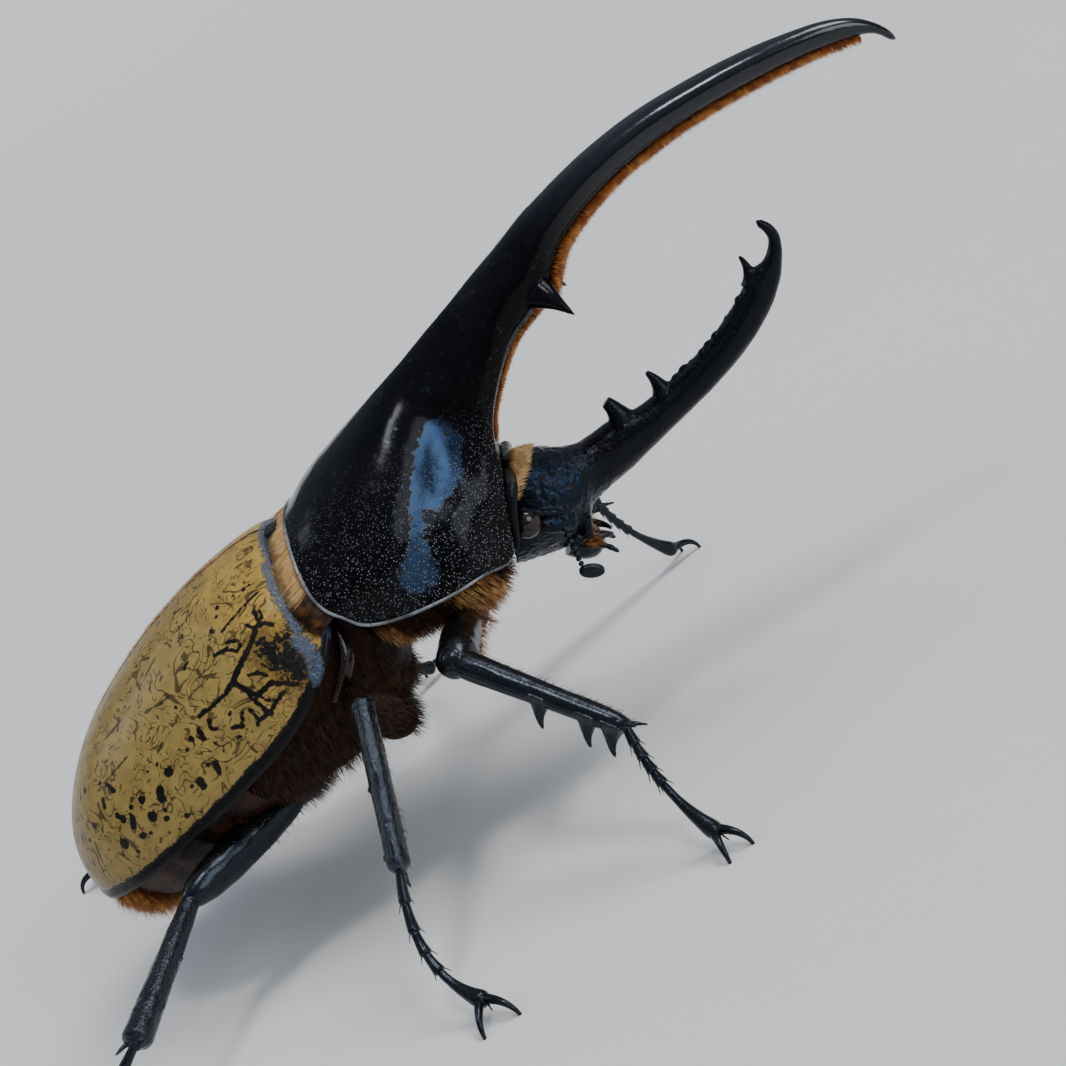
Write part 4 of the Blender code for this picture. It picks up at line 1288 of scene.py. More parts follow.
@dataclass(frozen=True)
class Shield:
    """The pronotum and its great horn, which are one piece of shell.

    The trough and the lobe are placed by pixels, x and y by turns, and the patch of painted blue sheen by x,
    y and its radius in millimetres.
    """

    camera: PhotoCamera
    ring_steps: int = 7
    corner_section: int = 5
    horn_section: int = 7
    collar_foot: tuple[float, float] = (-1.2, 3.0)
    collar_slope: float = math.radians(51.5)
    tip: Triple = (75.5, 0.0, 11.6)
    tooth: tuple[Triple, Triple, Triple] = ((23.2, 2.6, 23.0), (24.2, 6.2, 21.6), (25.4, 8.2, 17.7))
    tooth_length: float = 3.1
    rear_foot: float = 14.2
    rear_height: float = 11.1
    rear_bulge: float = 6.4
    rear_lean: float = 0.9
    bulge_from: float = -12.0
    bulge_length: float = 8.5
    trough: tuple[float, ...] = (450, 428, 446, 458, 440, 490, 432, 520, 430, 548, 430, 574)
    trough_depth: float = 0.95
    trough_reach: float = 3.3
    ripple_reach: float = 4.5
    ripple_height: float = 0.045
    blue_sheen_patch: tuple[Triple, ...] = (
        (436, 428, 1.5), (440, 446, 2.7), (438, 470, 3.1), (431, 490, 2.4), (416, 500, 0.7),
        (416, 520, 0.8), (419, 540, 1.1), (421, 560, 1.9), (419, 576, 2.7),
    )
    lobe: tuple[float, float] = (468, 515)
    lobe_height: float = 0.7
    lobe_reach: float = 4.5
    brush_half_width: float = 4.3

    def collar(self, along: float, ahead: float = 0.0) -> tuple[float, float]:
        """A point on the front plane of the shield, or a little way ahead of it, as x and z."""
        slope = self.collar_slope
        x = self.collar_foot[0] + along * math.cos(slope) + ahead * math.sin(slope)
        z = self.collar_foot[1] + along * math.sin(slope) - ahead * math.cos(slope)
        return x, z

    def heading(self) -> Vector:
        """The direction in which the front plane faces."""
        return Vector((math.sin(self.collar_slope), 0.0, -math.cos(self.collar_slope)))

    def sections(self) -> list[Section]:
        """The cross-sections from the rear margin to just before the horn's tip."""
        return [
            Section(-20.5, 25.3, -20.5, 14.2, 16.3, 0.0, 2.2),
            Section(-19.0, 25.6, -19.0, 11.3, 16.9, 0.0, 2.2),
            Section(-15.0, 26.5, -15.0, 8.9, 17.6, 0.0, 2.15),
            Section(-8.5, 27.2, -9.5, 6.6, 17.4, 0.0, 2.0),
            Section(-2.0, 27.6, -4.9, 4.9, 15.6, 0.0, 1.8),
            Section(4.0, 27.9, *self.collar(0.0), 12.4, 0.0, 1.6),
            Section(9.0, 28.3, *self.collar(5.0), 10.2, 0.0, 1.55),
            Section(13.5, 28.7, *self.collar(10.0), 8.2, 0.0, 1.6),
            Section(17.5, 29.0, *self.collar(15.5), 6.6, 0.08, 1.8),
            Section(21.5, 29.3, 16.4, 19.3, 5.6, 0.3),
            Section(25.8, 29.7, 24.2, 20.6, 5.0, 0.42),
            Section(30.5, 30.0, 30.0, 23.7, 4.2, 0.46),
            Section(38.5, 29.9, 38.0, 24.8, 3.6),
            Section(46.5, 28.9, 45.4, 24.3, 3.2),
            Section(54.5, 26.8, 53.0, 22.8, 2.9),
            Section(62.0, 24.2, 60.4, 20.6, 2.5),
            Section(68.5, 21.2, 66.8, 18.3, 2.0),
            Section(71.8, 19.2, 70.2, 16.7, 1.6),
            Section(73.9, 17.2, 72.3, 15.7, 1.25),
            Section(75.1, 15.2, 73.8, 14.6, 0.95),
            Section(75.7, 13.4, 74.5, 13.6, 0.75),
            Section(75.8, 12.3, 74.9, 12.4, 0.55),
        ]

    def rings(self) -> list[Ring]:
        """The smooth rings from the rear margin to just before the horn's tip."""
        return [section_ring(section) for section in refine(self.sections(), self.ring_steps)]

    def bulge(self, place: Vector) -> float:
        """How far the rear edge swells backwards at a place near it."""
        share = min(1.0, max(0.0, (place.z - self.rear_foot) / self.rear_height))
        near = min(1.0, max(0.0, (self.bulge_from - place.x) / self.bulge_length))
        return near * (self.rear_lean * share * share - self.rear_bulge * share * (1 - share) ** 2)

    def side_tooth(self, side: Side) -> Surface:
        """One broad, hooked tooth on the side of the horn."""
        path = side.path(self.tooth)
        rings = []
        steps = 12
        for index in range(steps):
            share = index / steps
            heading = curve_heading(path, share)
            lengthwise = Vector((1.0, 0.0, 0.0)) - heading * heading.x
            thick = heading.cross(lengthwise.normalized())
            half = 0.25 + self.tooth_length * (1 - share) ** 1.5
            depth = 0.22 + 1.9 * (1 - share) ** 1.2
            centre = curve_point(path, share) + Vector((0.2 * math.sin(share * math.pi), 0.0, 0.0))
            rings.append(Ring(centre, lengthwise.normalized() * half, thick * depth, -thick * depth))
        return loft(rings, 12, 12, tip=tuple(path[2]))

    def build(self, shop: Workshop) -> Thing:
        """The shell of shield, horn and side teeth, still in millimetres."""
        body = loft(self.rings(), 110, 28, tip=self.tip)
        for vertex in body.verts:
            vertex.co.x += self.bulge(vertex.co)
        shell = shop.thing("shield_and_horn", gather([body] + [self.side_tooth(side) for side in Side]))
        shop.melt(shell, 0.27, 3)
        self.mould(shop, shell)
        return shell

    def mould(self, shop: Workshop, shell: Thing) -> None:
        """Press the trough into both sides, raise the lobe before it and add the shell's unevenness."""
        solid = bmesh.new()
        solid.from_mesh(shell.data)
        tree = BVHTree.FromBMesh(solid)
        solid.free()
        found = self.camera.hits(tree, self.trough + self.lobe)
        places = vertex_array(shell.data, "co")
        right = np.stack([places[:, 0], -np.abs(places[:, 1]), places[:, 2]], axis=1)
        away = path_distance(right, found[:-1])
        lifts = self.lobe_height * np.exp(-((path_distance(right, found[-1:]) / self.lobe_reach) ** 2))
        lifts -= self.trough_depth * np.exp(-((away / self.trough_reach) ** 2))
        rippled = np.exp(-((away / self.ripple_reach) ** 2))
        ripples = np.array([noise.noise(Vector(place) * 0.8) for place in right])
        shop.press(shell, lifts + ripples * rippled * self.ripple_height)
        shop.roughen(shell, self.ripple)
        self.mark_patch(shell, tree, right)

    def mark_patch(self, shell: Thing, tree: BVHTree, right: Array) -> None:
        """Write where the trough's painted blue sheen lies, from the depth inside it in millimetres."""
        steps = np.arange(8)[:, None] / 8
        nodes = np.array(self.blue_sheen_patch)
        pixels = np.concatenate([a + (b - a) * steps for a, b in zip(nodes, nodes[1:])])
        inside = np.full(len(right), -9.0)
        for place, radius in zip(self.camera.hits(tree, pixels[:, :2].ravel()), pixels[:, 2]):
            inside = np.maximum(inside, radius - np.linalg.norm(right - place, axis=1))
        write_field(shell, "sheen", np.clip(inside + 0.5, 0.0, 1.0))

    @staticmethod
    def ripple(place: Vector) -> float:
        """The slow unevenness of the shell, with low dents on the shield's sides."""
        swell = noise.noise(place * 0.16) * 0.10
        dents = noise.noise(place * 0.55) * 0.03
        return swell + dents if place.x < 30.0 else dents * 0.6

    def margin_path(self) -> list[Vector]:
        """The shield's edge from its right front corner back, over the rear arc and forward on the left."""
        rings = self.rings()[: self.ring_steps * self.corner_section + 1]
        lower = [ring.centre + ring.across * -1.0 for ring in reversed(rings)]
        arc_steps = 60
        arc = ring_points(rings[0], arc_steps, 2)[: arc_steps + 1]
        upper = [ring.centre + ring.across for ring in rings]
        path = lower[:-1] + list(reversed(arc)) + upper[1:]
        return [point + Vector((self.bulge(point), 0.0, 0.0)) for point in path]

    def collar_path(self) -> tuple[list[Vector], list[float]]:
        """The front edge's lip, up on the right to the horn and down on the left, and its swell."""
        rings = self.rings()[self.ring_steps * self.corner_section: self.ring_steps * self.horn_section - 2]
        swell = [0.22 + 0.78 * (index / (len(rings) - 1)) ** 0.8 for index in range(len(rings))]
        ahead, inner = self.heading() * 0.75, 0.96
        right = [ring.centre - ring.across * inner + ahead * size for ring, size in zip(rings, swell)]
        left = [ring.centre + ring.across * inner + ahead * size for ring, size in zip(rings, swell)]
        return right + left[::-1], swell + swell[::-1]

    def on_collar(self, places: Array) -> tuple[Array, Array]:
        """How far places lie up along the front plane, and how far ahead of it."""
        slope = self.collar_slope
        x, z = places[:, 0] - self.collar_foot[0], places[:, 2] - self.collar_foot[1]
        return x * math.cos(slope) + z * math.sin(slope), x * math.sin(slope) - z * math.cos(slope)

    def spine(self) -> tuple[Array, Array]:
        """Points along the shell's underside from the collar to the tip, and the way each faces."""
        rings = self.rings()[self.ring_steps * self.corner_section:]
        line = np.array([list(ring.centre + ring.fall) for ring in rings])
        run = unit(np.gradient(line, axis=0))
        return line, np.stack([run[:, 2], np.zeros(len(run)), -run[:, 0]], axis=1)

    def dress(self, shop: Workshop, coat: Coat, shell: Thing) -> None:
        """Add the rims and the brush of hair, and finish the shell."""
        line, outward = self.spine()

        def down(places: Array) -> Array:
            """The underside's direction at each place."""
            columns = [np.interp(places[:, 0], line[:, 0], column) for column in outward.T]
            return np.stack(columns, axis=1)

        def under(low: float, high: float, least: float) -> Field:
            """The weight of the underside between two x values."""

            def weight(places: Array, normals: Array) -> Array:
                """The weight, which is 0 on the side teeth."""
                x = places[:, 0]
                inside = smooth_share(x, low, low + 0.8) * smooth_share(x, high, high - 0.8)
                inside *= np.abs(places[:, 1]) < self.brush_half_width
                return inside * smooth_share((normals * down(places)).sum(axis=1), least, least + 0.15)

            return weight

        def brush_comb(places: Array, normals: Array) -> Array:
            """Square to the lower edge, leaning a little to the tip."""
            facing_down = down(places)
            run = np.stack([-facing_down[:, 2], np.zeros(len(places)), facing_down[:, 0]], axis=1)
            return facing_down + run * 0.3 + normals * 0.2

        style = HairStyle(1.25, 0.034, spread=0.16, lift=0.2, droop=0.15, wave=0.09, clump=0.3)
        coat.cover(shell, "horn_brush", 110.0, under(24.3, 73.0, 0.8), brush_comb, style, BRUSH_HAIR, 11)
        style = HairStyle(0.7, 0.032, spread=0.2, lift=0.3, wave=0.1)
        coat.cover(shell, "throat_brush", 50.0, under(6.0, 23.0, 0.85), brush_comb, style, BRUSH_HAIR, 13)
        nodes = ("pronotum", "thoracic_horn_base", "thoracic_horn_shaft", "thoracic_horn_tip")
        shop.settle(shell, BLACK_SHELL, Slot.BLACK, nodes)
        # The margin bead is coloured pale grey as a painted highlight line.
        margin = shop.thing("shield_margin", bead(self.margin_path(), 0.22))
        shop.settle(margin, RIM_HIGHLIGHT_SHELL, Slot.BLACK)
        path, swell = self.collar_path()
        collar = shop.thing("shield_collar", bead(path, 0.9, 20, swell=swell))
        shop.settle(collar, HEAD_SHELL, Slot.BLACK)


@dataclass(frozen=True)
class Head:
    """The head with its toothed horn, eyes, feelers and mouth."""

    shield: Shield
    eye_centre: Triple = (2.0, 7.6, 3.6)
    eye_radius: float = 2.0
    tip: Triple = (48.2, 0.0, 8.4)
    teeth: tuple = (
        ((18.5, 1.8), (18.9, 5.5), 1.7, 0.8),
        ((24.7, 0.4), (25.2, 4.5), 1.5, 0.35),
        ((42.6, 3.0), (43.7, 6.6), 1.0, 0.25),
    )
    bumps_from: float = 26.5
    bumps_to: float = 41.5
    antenna_path: tuple = (
        (5.2, 4.8, 1.2), (5.0, 7.2, 0.2), (4.4, 8.2, -1.4), (3.6, 8.3, -3.4), (3.0, 8.3, -5.0)
    )
    club_start: Triple = (2.1, 8.3, -5.6)
    club_end: Triple = (4.4, 8.3, -7.7)
    face_ridges: tuple = (
        (0.7, 0.4, ((8.0, 4.6, 0.1), (5.2, 7.8, 0.9), (2.9, 7.7, 5.4))),
        (1.3, 0.9, ((5.8, 5.6, -0.8), (4.6, 7.4, 0.2), (3.0, 7.2, 1.9))),
        (0.7, 0.5, ((7.0, 3.6, -2.4), (5.8, 3.7, -4.0), (4.9, 2.6, -5.3))),
    )

    def sections(self) -> list[Section]:
        """The cross-sections from the neck to the end of the horn's hook."""
        collar = self.shield.collar
        return [
            Section(*collar(9.3, GAP), *collar(-5.0, GAP), 6.2),
            Section(8.0, 8.1, -1.6, -2.8, 7.0, 0.5, 2.0, 1.6),
            Section(10.3, 5.6, 1.6, -4.4, 6.5, 0.55, 2.0, 1.5),
            Section(12.4, 4.2, 5.0, -5.2, 4.9, 0.6, 2.0, 1.5),
            Section(14.0, 3.9, 7.9, -2.9, 3.9),
            Section(15.4, 3.7, 10.6, -2.7, 3.4),
            Section(17.2, 3.4, 14.6, -3.0, 3.1),
            Section(21.2, 2.0, 20.4, -3.1, 2.8),
            Section(25.6, 1.5, 25.6, -3.1, 2.6),
            Section(30.0, 1.4, 30.4, -3.1, 2.4),
            Section(35.0, 1.8, 35.9, -2.6, 2.2),
            Section(40.2, 3.0, 41.2, -1.3, 1.95),
            Section(43.2, 4.2, 45.2, 0.7, 1.6),
            Section(45.2, 4.0, 47.1, 2.3, 1.3),
            Section(46.7, 4.6, 48.4, 3.7, 1.1),
            Section(47.7, 5.5, 49.2, 5.1, 0.95),
            Section(48.0, 6.6, 49.3, 6.6, 0.8),
            Section(47.9, 7.5, 48.9, 7.9, 0.6),
        ]

    def build(self, shop: Workshop) -> Thing:
        """The head and its horn as one skin, still in millimetres."""
        rings = [section_ring(section) for section in refine(self.sections(), 6)]
        parts = [loft(rings, 32, 32, tip=self.tip)]
        for root, end, radius, blunt in self.teeth:
            start = Vector((root[0], 0.0, root[1]))
            stop = Vector((end[0], 0.0, end[1]))
            bend = start.lerp(stop, 0.6) + Vector((0.5, 0.0, 0.0))
            parts.append(Thorn(radius, blunt, flare=1.6, taper=0.7, sharp=False).mesh(start, bend, stop))
        parts += self.ridge_bumps(rings)
        parts += self.canthus()
        skull = shop.thing("head_and_horn", gather(parts))
        shop.melt(skull, 0.17, 3)
        shop.roughen(skull, self.rugose)
        # A painted bluish sheen over the head, read by the head finish's sheen.
        write_field(skull, "sheen", 0.6 * smooth_share(vertex_array(skull.data, "co")[:, 0], 15.0, 10.5))
        return skull

    def ridge_bumps(self, rings: Sequence[Ring]) -> list[Surface]:
        """The row of low bumps on the horn's upper edge between its second and third tooth."""
        draw = random.Random(5)
        crest = [ring.centre + ring.rise for ring in rings if self.bumps_from < ring.centre.x < self.bumps_to]
        bumps = []
        for point in crest[::2]:
            size = draw.uniform(0.2, 0.5)
            place = point + Vector((draw.uniform(-0.4, 0.4), draw.uniform(-0.4, 0.4), -0.12))
            bumps.append(ball(place, (size * 1.8, 0.7, size), fineness=12))
        return bumps

    def canthus(self) -> list[Surface]:
        """The ridge before each eye, the cheek below it, and the edge of the face plate."""
        parts = []
        for side in Side:
            for radius, tip_radius, points in self.face_ridges:
                parts.append(Thorn(radius, tip_radius, sharp=False).mesh(*side.path(points)))
        return parts

    @staticmethod
    def rugose(place: Vector) -> float:
        """Coarse wrinkles on the head that die out along the horn."""
        share = max(0.0, min(1.0, (17.0 - place.x) / 7.0))
        return noise.noise(place * 1.5) * 0.13 * share + noise.noise(place * 0.5) * 0.05

    def build_eye(self, shop: Workshop, side: Side) -> Thing:
        """One eye, sunk in the head."""
        eye = ball(side.set(self.eye_centre), (self.eye_radius,) * 3, fineness=48)
        return shop.thing("eye_ball_" + side.word, eye)

    def build_feeler(self, shop: Workshop, side: Side) -> Thing:
        """One feeler: a stalk, a row of beads and a club of three leaves."""
        path = side.path(self.antenna_path)
        parts = [Thorn(0.62, 0.5, sharp=False).mesh(path[0], path[0].lerp(path[1], 0.6), path[1])]
        beads = 8
        for index in range(beads):
            share = index / (beads - 1) * (len(path) - 2)
            first = 1 + min(int(share), len(path) - 3)
            centre = path[first].lerp(path[first + 1], share - (first - 1))
            size = 0.52 - 0.018 * index
            parts.append(ball(centre, (size, size, size * 0.8), fineness=16))
        start, end = side.set(self.club_start), side.set(self.club_end)
        turn = (end - start).to_track_quat("Z", "Y").to_matrix()
        for leaf in (-1, 0, 1):
            centre = start.lerp(end, 0.5) + turn @ Vector((0.42 * leaf, 0.0, 0.0))
            parts.append(ball(centre, (0.3, 0.85, (end - start).length * 0.52), turn))
        return shop.thing("feeler_" + side.word, gather(parts))

    def build_mouth(self, shop: Workshop) -> Thing:
        """The jaws, lip and jointed palps below the head."""
        shape = ((0.0, 3.0, 2.6), (0.5, 3.0, 2.4), (0.85, 2.2, 1.7), (1.0, 1.1, 0.9))
        start, end = Vector((3.2, 0.0, -4.0)), Vector((4.9, 0.0, -7.8))
        parts = [loft(limb_rings(start, end, shape, Vector((1.0, 0.0, 0.0)), 5), 16, 16)]
        for side in Side:
            palp = side.path(((4.6, 1.6, -6.2), (5.8, 2.3, -7.2), (6.2, 2.7, -8.6)))
            for share, size in ((0.0, 0.46), (0.3, 0.44), (0.6, 0.40), (0.9, 0.32)):
                after = min(share + 0.3, 1.0)
                heading = (curve_point(palp, after) - curve_point(palp, share)).normalized()
                turn = heading.to_track_quat("Z", "Y").to_matrix()
                parts.append(ball(curve_point(palp, (share + after) / 2), (size, size, 0.7), turn, 16))
            jaw = side.path(((4.6, 2.4, -4.6), (6.6, 2.8, -5.8), (7.2, 1.2, -7.2)))
            parts.append(Thorn(1.0, 0.3, sharp=False, flatness=0.7).mesh(*jaw))
        return shop.thing("jaws_and_palps", gather(parts))

    def dress(self, shop: Workshop, coat: Coat) -> None:
        """Build and finish the head and all that it carries."""
        skull = self.build(shop)
        mouth = self.build_mouth(shop)
        horn_base = zone((Measure.X, 11.0, 12.5), (Measure.X, 17.5, 15.0), (Measure.FACING_UP, 0.1, 0.5))
        comb, style = toward((0.7, 0.0, -0.5)), HairStyle(0.6, 0.02, lift=0.3)
        coat.cover(skull, "horn_base_hair", 5.0, horn_base, comb, style, BROWN_HAIR, 21)

        def nape(places: Array, normals: Array) -> Array:
            """The weight of the strip of the head next to the shield's collar."""
            along, ahead = self.shield.on_collar(places)
            reach = -0.2 + 0.26 * (along - 5.0)
            front = reach + (0.8 + 0.26 * (along - 5.0))
            strip = smooth_share(ahead, reach, reach + 0.4) * smooth_share(ahead, front + 0.4, front)
            return strip * smooth_share(along, 4.4, 5.2)

        style = HairStyle(1.5, 0.036, spread=0.12, lift=0.22, droop=0.3, wave=0.07)
        lay = toward(self.shield.heading() + Vector((0.0, 0.0, 0.1)))
        coat.cover(skull, "nape_band", 90.0, nape, lay, style, PALE_HAIR, 25)

        def lips(places: Array, normals: Array) -> Array:
            """The weight of two small spots beside the lip."""
            spot = np.linalg.norm(np.abs(places) - (5.0, 2.6, 5.4), axis=1)
            return smooth_share(spot, 1.5, 0.8)

        comb, style = toward((0.9, 0.0, -0.3)), HairStyle(1.2, 0.03)
        coat.cover(mouth, "mouth_hair", 20.0, lips, comb, style, ORANGE_HAIR, 23)
        nodes = ("head", "cephalic_horn_base", "cephalic_horn_shaft", "cephalic_horn_hook")
        shop.settle(skull, HEAD_SHELL, Slot.BLACK, nodes)
        shop.settle(mouth, LEG_SHELL, Slot.BROWN, ("mouthparts",))
        for side in Side:
            shop.settle(self.build_eye(shop, side), EYE, Slot.EYE, ("eye_" + side.word,))
            feeler = self.build_feeler(shop, side)
            shop.settle(feeler, LEG_SHELL, Slot.BROWN, ("antenna_" + side.word,))


@dataclass(frozen=True)
class HindBody:
    """The wing cases, and the thorax and abdomen under them."""

    shell: float = 1.2
    suture_gap: float = 0.15
    thorax_rear: float = -44.0
    middle: float = -46.0
    widest: float = 20.0
    rear_length: float = 28.0
    roundness: float = 2.1
    belly_roundness: float = 1.6
    tip: Triple = (-74.6, 0.0, 8.6)
    scutellum: tuple = (
        Section(-21.6, 25.0, -21.6, 24.0, 2.8, 0.0, 5.0),
        Section(-24.0, 25.7, -24.0, 24.55, 2.5, 0.0, 5.0),
        Section(-26.4, 26.4, -26.4, 25.3, 1.4, 0.0, 5.0),
        Section(-28.0, 26.8, -28.0, 25.8, 0.4, 0.0, 5.0),
    )
    thorax_front: tuple = (-20.8, 13.0, 25.2, 2.8, 14.6)

    def rows(self, steps: int, inset: float = 0.0) -> list[tuple]:
        """Rows of x, height of the margin, crest and belly, and half width, smoothed and drawn in."""
        coarse = (
            (-23.0, 13.5, 25.6, -0.4, 14.8),
            (-25.5, 11.6, 26.6, -2.2, 17.0),
            (-30.0, 9.8, 27.3, -3.7, 18.6),
            (-36.0, 8.3, 27.7, -4.1, 19.5),
            (-44.0, 8.0, 27.3, -3.0, 20.0),
            (-52.0, 8.0, 26.0, -2.5, 19.8),
            (-59.0, 8.0, 24.1, -2.3, 18.6),
            (-65.0, 8.0, 21.2, -1.2, 16.2),
            (-70.0, 8.0, 17.4, 0.6, 12.2),
            (-72.8, 8.0, 13.4, 3.0, 7.6),
            (-74.1, 8.0, 10.2, 5.2, 3.8),
            (-74.6, 8.4, 8.9, 8.1, 0.9),
        )
        return [self.drawn_in(row, inset) for row in refine(coarse, steps)]

    def drawn_in(self, row: tuple, inset: float) -> tuple:
        """A row drawn in towards the middle by about the inset."""
        x, margin, crest, belly, width = row
        share = 1 - inset / self.widest
        if x < self.middle:
            x = self.middle + (x - self.middle) * (1 - inset / self.rear_length)
        return x, margin, margin + (crest - margin) * share, belly, width * share

    def dome(self, row: tuple) -> Ring:
        """A row as a ring whose widest place is the wing-case margin."""
        x, margin, crest, belly, width = row
        across = Vector((0.0, width, 0.0))
        rise = Vector((0.0, 0.0, crest - margin))
        fall = Vector((0.0, 0.0, belly - margin))
        return Ring(Vector((x, 0.0, margin)), across, rise, fall, self.roundness, self.belly_roundness)


@dataclass(frozen=True)
class WingCases:
    """The pair of wing cases, with marks placed where the photograph shows them.

    Paths are given as the x and y of one pixel after another; a mark's width in millimetres stands first.
    """

    body: HindBody
    camera: PhotoCamera
    long_steps: int = 190
    round_steps: int = 110
    lip_share: float = 0.03
    lip_drop: float = 1.1
    rim_profile: tuple[Triple, ...] = ((0.26, 0.5, 0.42), (-0.156, 1.5, 0.4))
    shoulder_height: float = 0.7
    shoulder_hump: tuple[float, ...] = (-27.5, 3.2, 0.34, 0.15)
    spot_share: float = 0.56
    stroke_share: float = 0.40
    shoulder: tuple[float, ...] = (284, 640, 298, 654, 307, 674)
    smudge: tuple[float, ...] = (266, 650, 284, 660, 300, 672)
    smudge_share: float = 0.5
    # Pixel paths of the painted bluish sheen along the front lip and along the rim before the shoulder.
    lip: tuple[float, ...] = (299, 640, 309, 650, 315, 664, 317, 678)
    rim: tuple[float, ...] = (266, 566, 273, 588, 285, 610, 299, 630)
    rim_share: float = 0.35
    veins: tuple[tuple[float, ...], ...] = (
        (206, 676, 194, 692, 180, 712, 168, 736, 156, 756), (192, 612, 176, 632, 156, 656, 140, 688),
        (124, 716, 108, 736, 90, 756), (172, 672, 184, 668, 196, 670, 202, 678),
        (132, 672, 140, 688, 138, 700, 146, 712, 160, 704, 170, 696),
        (156, 716, 160, 724, 156, 732, 150, 740, 142, 744), (184, 658, 180, 668, 172, 678),
        (246, 560, 228, 574, 218, 584), (232, 640, 214, 668, 200, 690), (188, 604, 176, 612, 168, 628),
        (128, 756, 116, 770, 104, 784), (150, 780, 132, 800, 120, 830, 124, 856), (246, 744, 258, 752),
        (278, 724, 286, 732),
    )
    marks: tuple[tuple[float, ...], ...] = (
        (1.25, 168.7, 771.7), (1.5, 160, 790, 161.5, 799), (1, 141.6, 799.8), (0.7, 131, 806.8),
        (0.85, 117.6, 815.8), (1, 123, 819), (1.2, 133, 818.5, 133.8, 826.5), (1.3, 152.4, 816.4),
        (0.6, 164.5, 810.7), (0.75, 167, 819), (0.8, 187, 815), (0.95, 142.8, 835.5), (0.55, 150.8, 833),
        (1.3, 124.7, 843.5), (0.85, 107, 785, 114, 791), (0.6, 99.8, 783), (0.9, 103, 800, 104.5, 807),
        (0.8, 94.4, 826), (0.8, 84.8, 790.9), (1.3, 200, 780, 203, 786), (0.5, 192.3, 786),
        (1, 215.5, 763, 219, 772), (0.6, 208.2, 764.7), (0.5, 156.5, 764.7), (0.4, 148, 772),
        (0.5, 138, 851.5), (0.4, 170, 833), (0.5, 179.8, 829.8), (0.4, 109, 849), (0.6, 90, 840),
        (0.4, 130.4, 813.8), (0.95, 198.7, 730, 203.8, 739.5), (0.8, 191.6, 739.2),
        (0.75, 209.2, 719.1, 211.4, 730), (0.45, 217.2, 728.7), (0.45, 216.5, 743), (0.5, 224.2, 750.4),
        (0.5, 187.2, 750), (0.8, 199, 717, 204.4, 711), (0.6, 229.9, 713.4), (0.6, 239.5, 737.3),
        (0.7, 231.5, 727.7, 242.7, 726.5, 242, 711.1), (0.6, 175.7, 707.3), (0.7, 183.7, 669, 186.9, 662.7),
        (0.6, 182, 636.8), (0.4, 171, 640.3), (0.7, 211.7, 631.4), (0.4, 210.1, 639.4), (0.5, 216, 617),
        (0.65, 217, 607.5), (0.4, 218.8, 596.3), (0.45, 232.5, 596.3), (0.65, 243.3, 589.3),
        (0.4, 249, 585.1), (0.5, 221.9, 631.4, 236.3, 613.8, 258.6, 591.5), (0.7, 214, 655.3, 226.7, 648.9),
        (0.6, 226.7, 642.6, 236.3, 640.3, 241.1, 645.7, 237, 651, 230, 650),
        (0.7, 253.8, 610.7, 258.6, 621.8, 255.4, 631.4),
        (0.65, 245.9, 625, 253.8, 628.2, 265, 623.4, 273, 625),
        (1, 255.4, 631.4, 250.7, 644.1, 244.3, 656.9, 237.9, 669.7, 233.1, 682.4, 227, 691),
        (0.5, 262, 618, 259, 610), (0.9, 233.1, 682.4, 245.9, 690, 257, 695.2, 271.4, 682.4, 296.9, 684),
        (0.6, 226.7, 692, 216, 703, 207, 711), (0.7, 245.9, 690, 253.8, 700, 263.4, 707.9, 271.4, 714.3),
        (0.75, 258, 721.5, 263.4, 717.5, 271.4, 711.1, 276.2, 701.6, 284.1, 692),
        (0.6, 250, 709, 256, 716, 258, 725), (0.5, 257, 695, 266, 699, 275, 702),
        (0.5, 248, 676, 258, 672, 268, 676), (0.5, 262, 664, 270, 670, 282, 668),
    )

    def point(self, rows: list, along: float, around: float, side: Side) -> Vector:
        """A point of the outer surface.

        Args:
            rows: The rows of the hind body.
            along: 0 at the front edge and 1 at the tail.
            around: 0 at the margin and 1 at the suture.
            side: The side of the body.

        Returns:
            The point, in millimetres.
        """
        last = len(rows) - 1
        place = along * last
        index = min(int(place), last - 1)
        row = [a + (b - a) * (place - index) for a, b in zip(rows[index], rows[index + 1])]
        x, margin, crest, _, width = row
        angle = around * math.pi / 2
        power = 2 / self.body.roundness
        wide = width * math.cos(angle) ** power
        high = (crest - margin) * math.sin(angle) ** power
        hump_x, hump_length, hump_around, hump_width = self.shoulder_hump
        lift = self.shoulder_height * math.exp(
            -(((x - hump_x) / hump_length) ** 2) - ((around - hump_around) / hump_width) ** 2
        )
        edge = math.hypot(width - wide, high)
        for height, distance, reach in self.rim_profile:
            lift += height * math.exp(-(((edge - distance) / reach) ** 2))
        if along < self.lip_share:
            lift -= self.lip_drop * (1 - math.sqrt(1 - (1 - along / self.lip_share) ** 2))
        wide += lift * math.cos(angle)
        high += lift * math.sin(angle)
        return Vector((x, side.value * max(wide, self.body.suture_gap), margin + high))

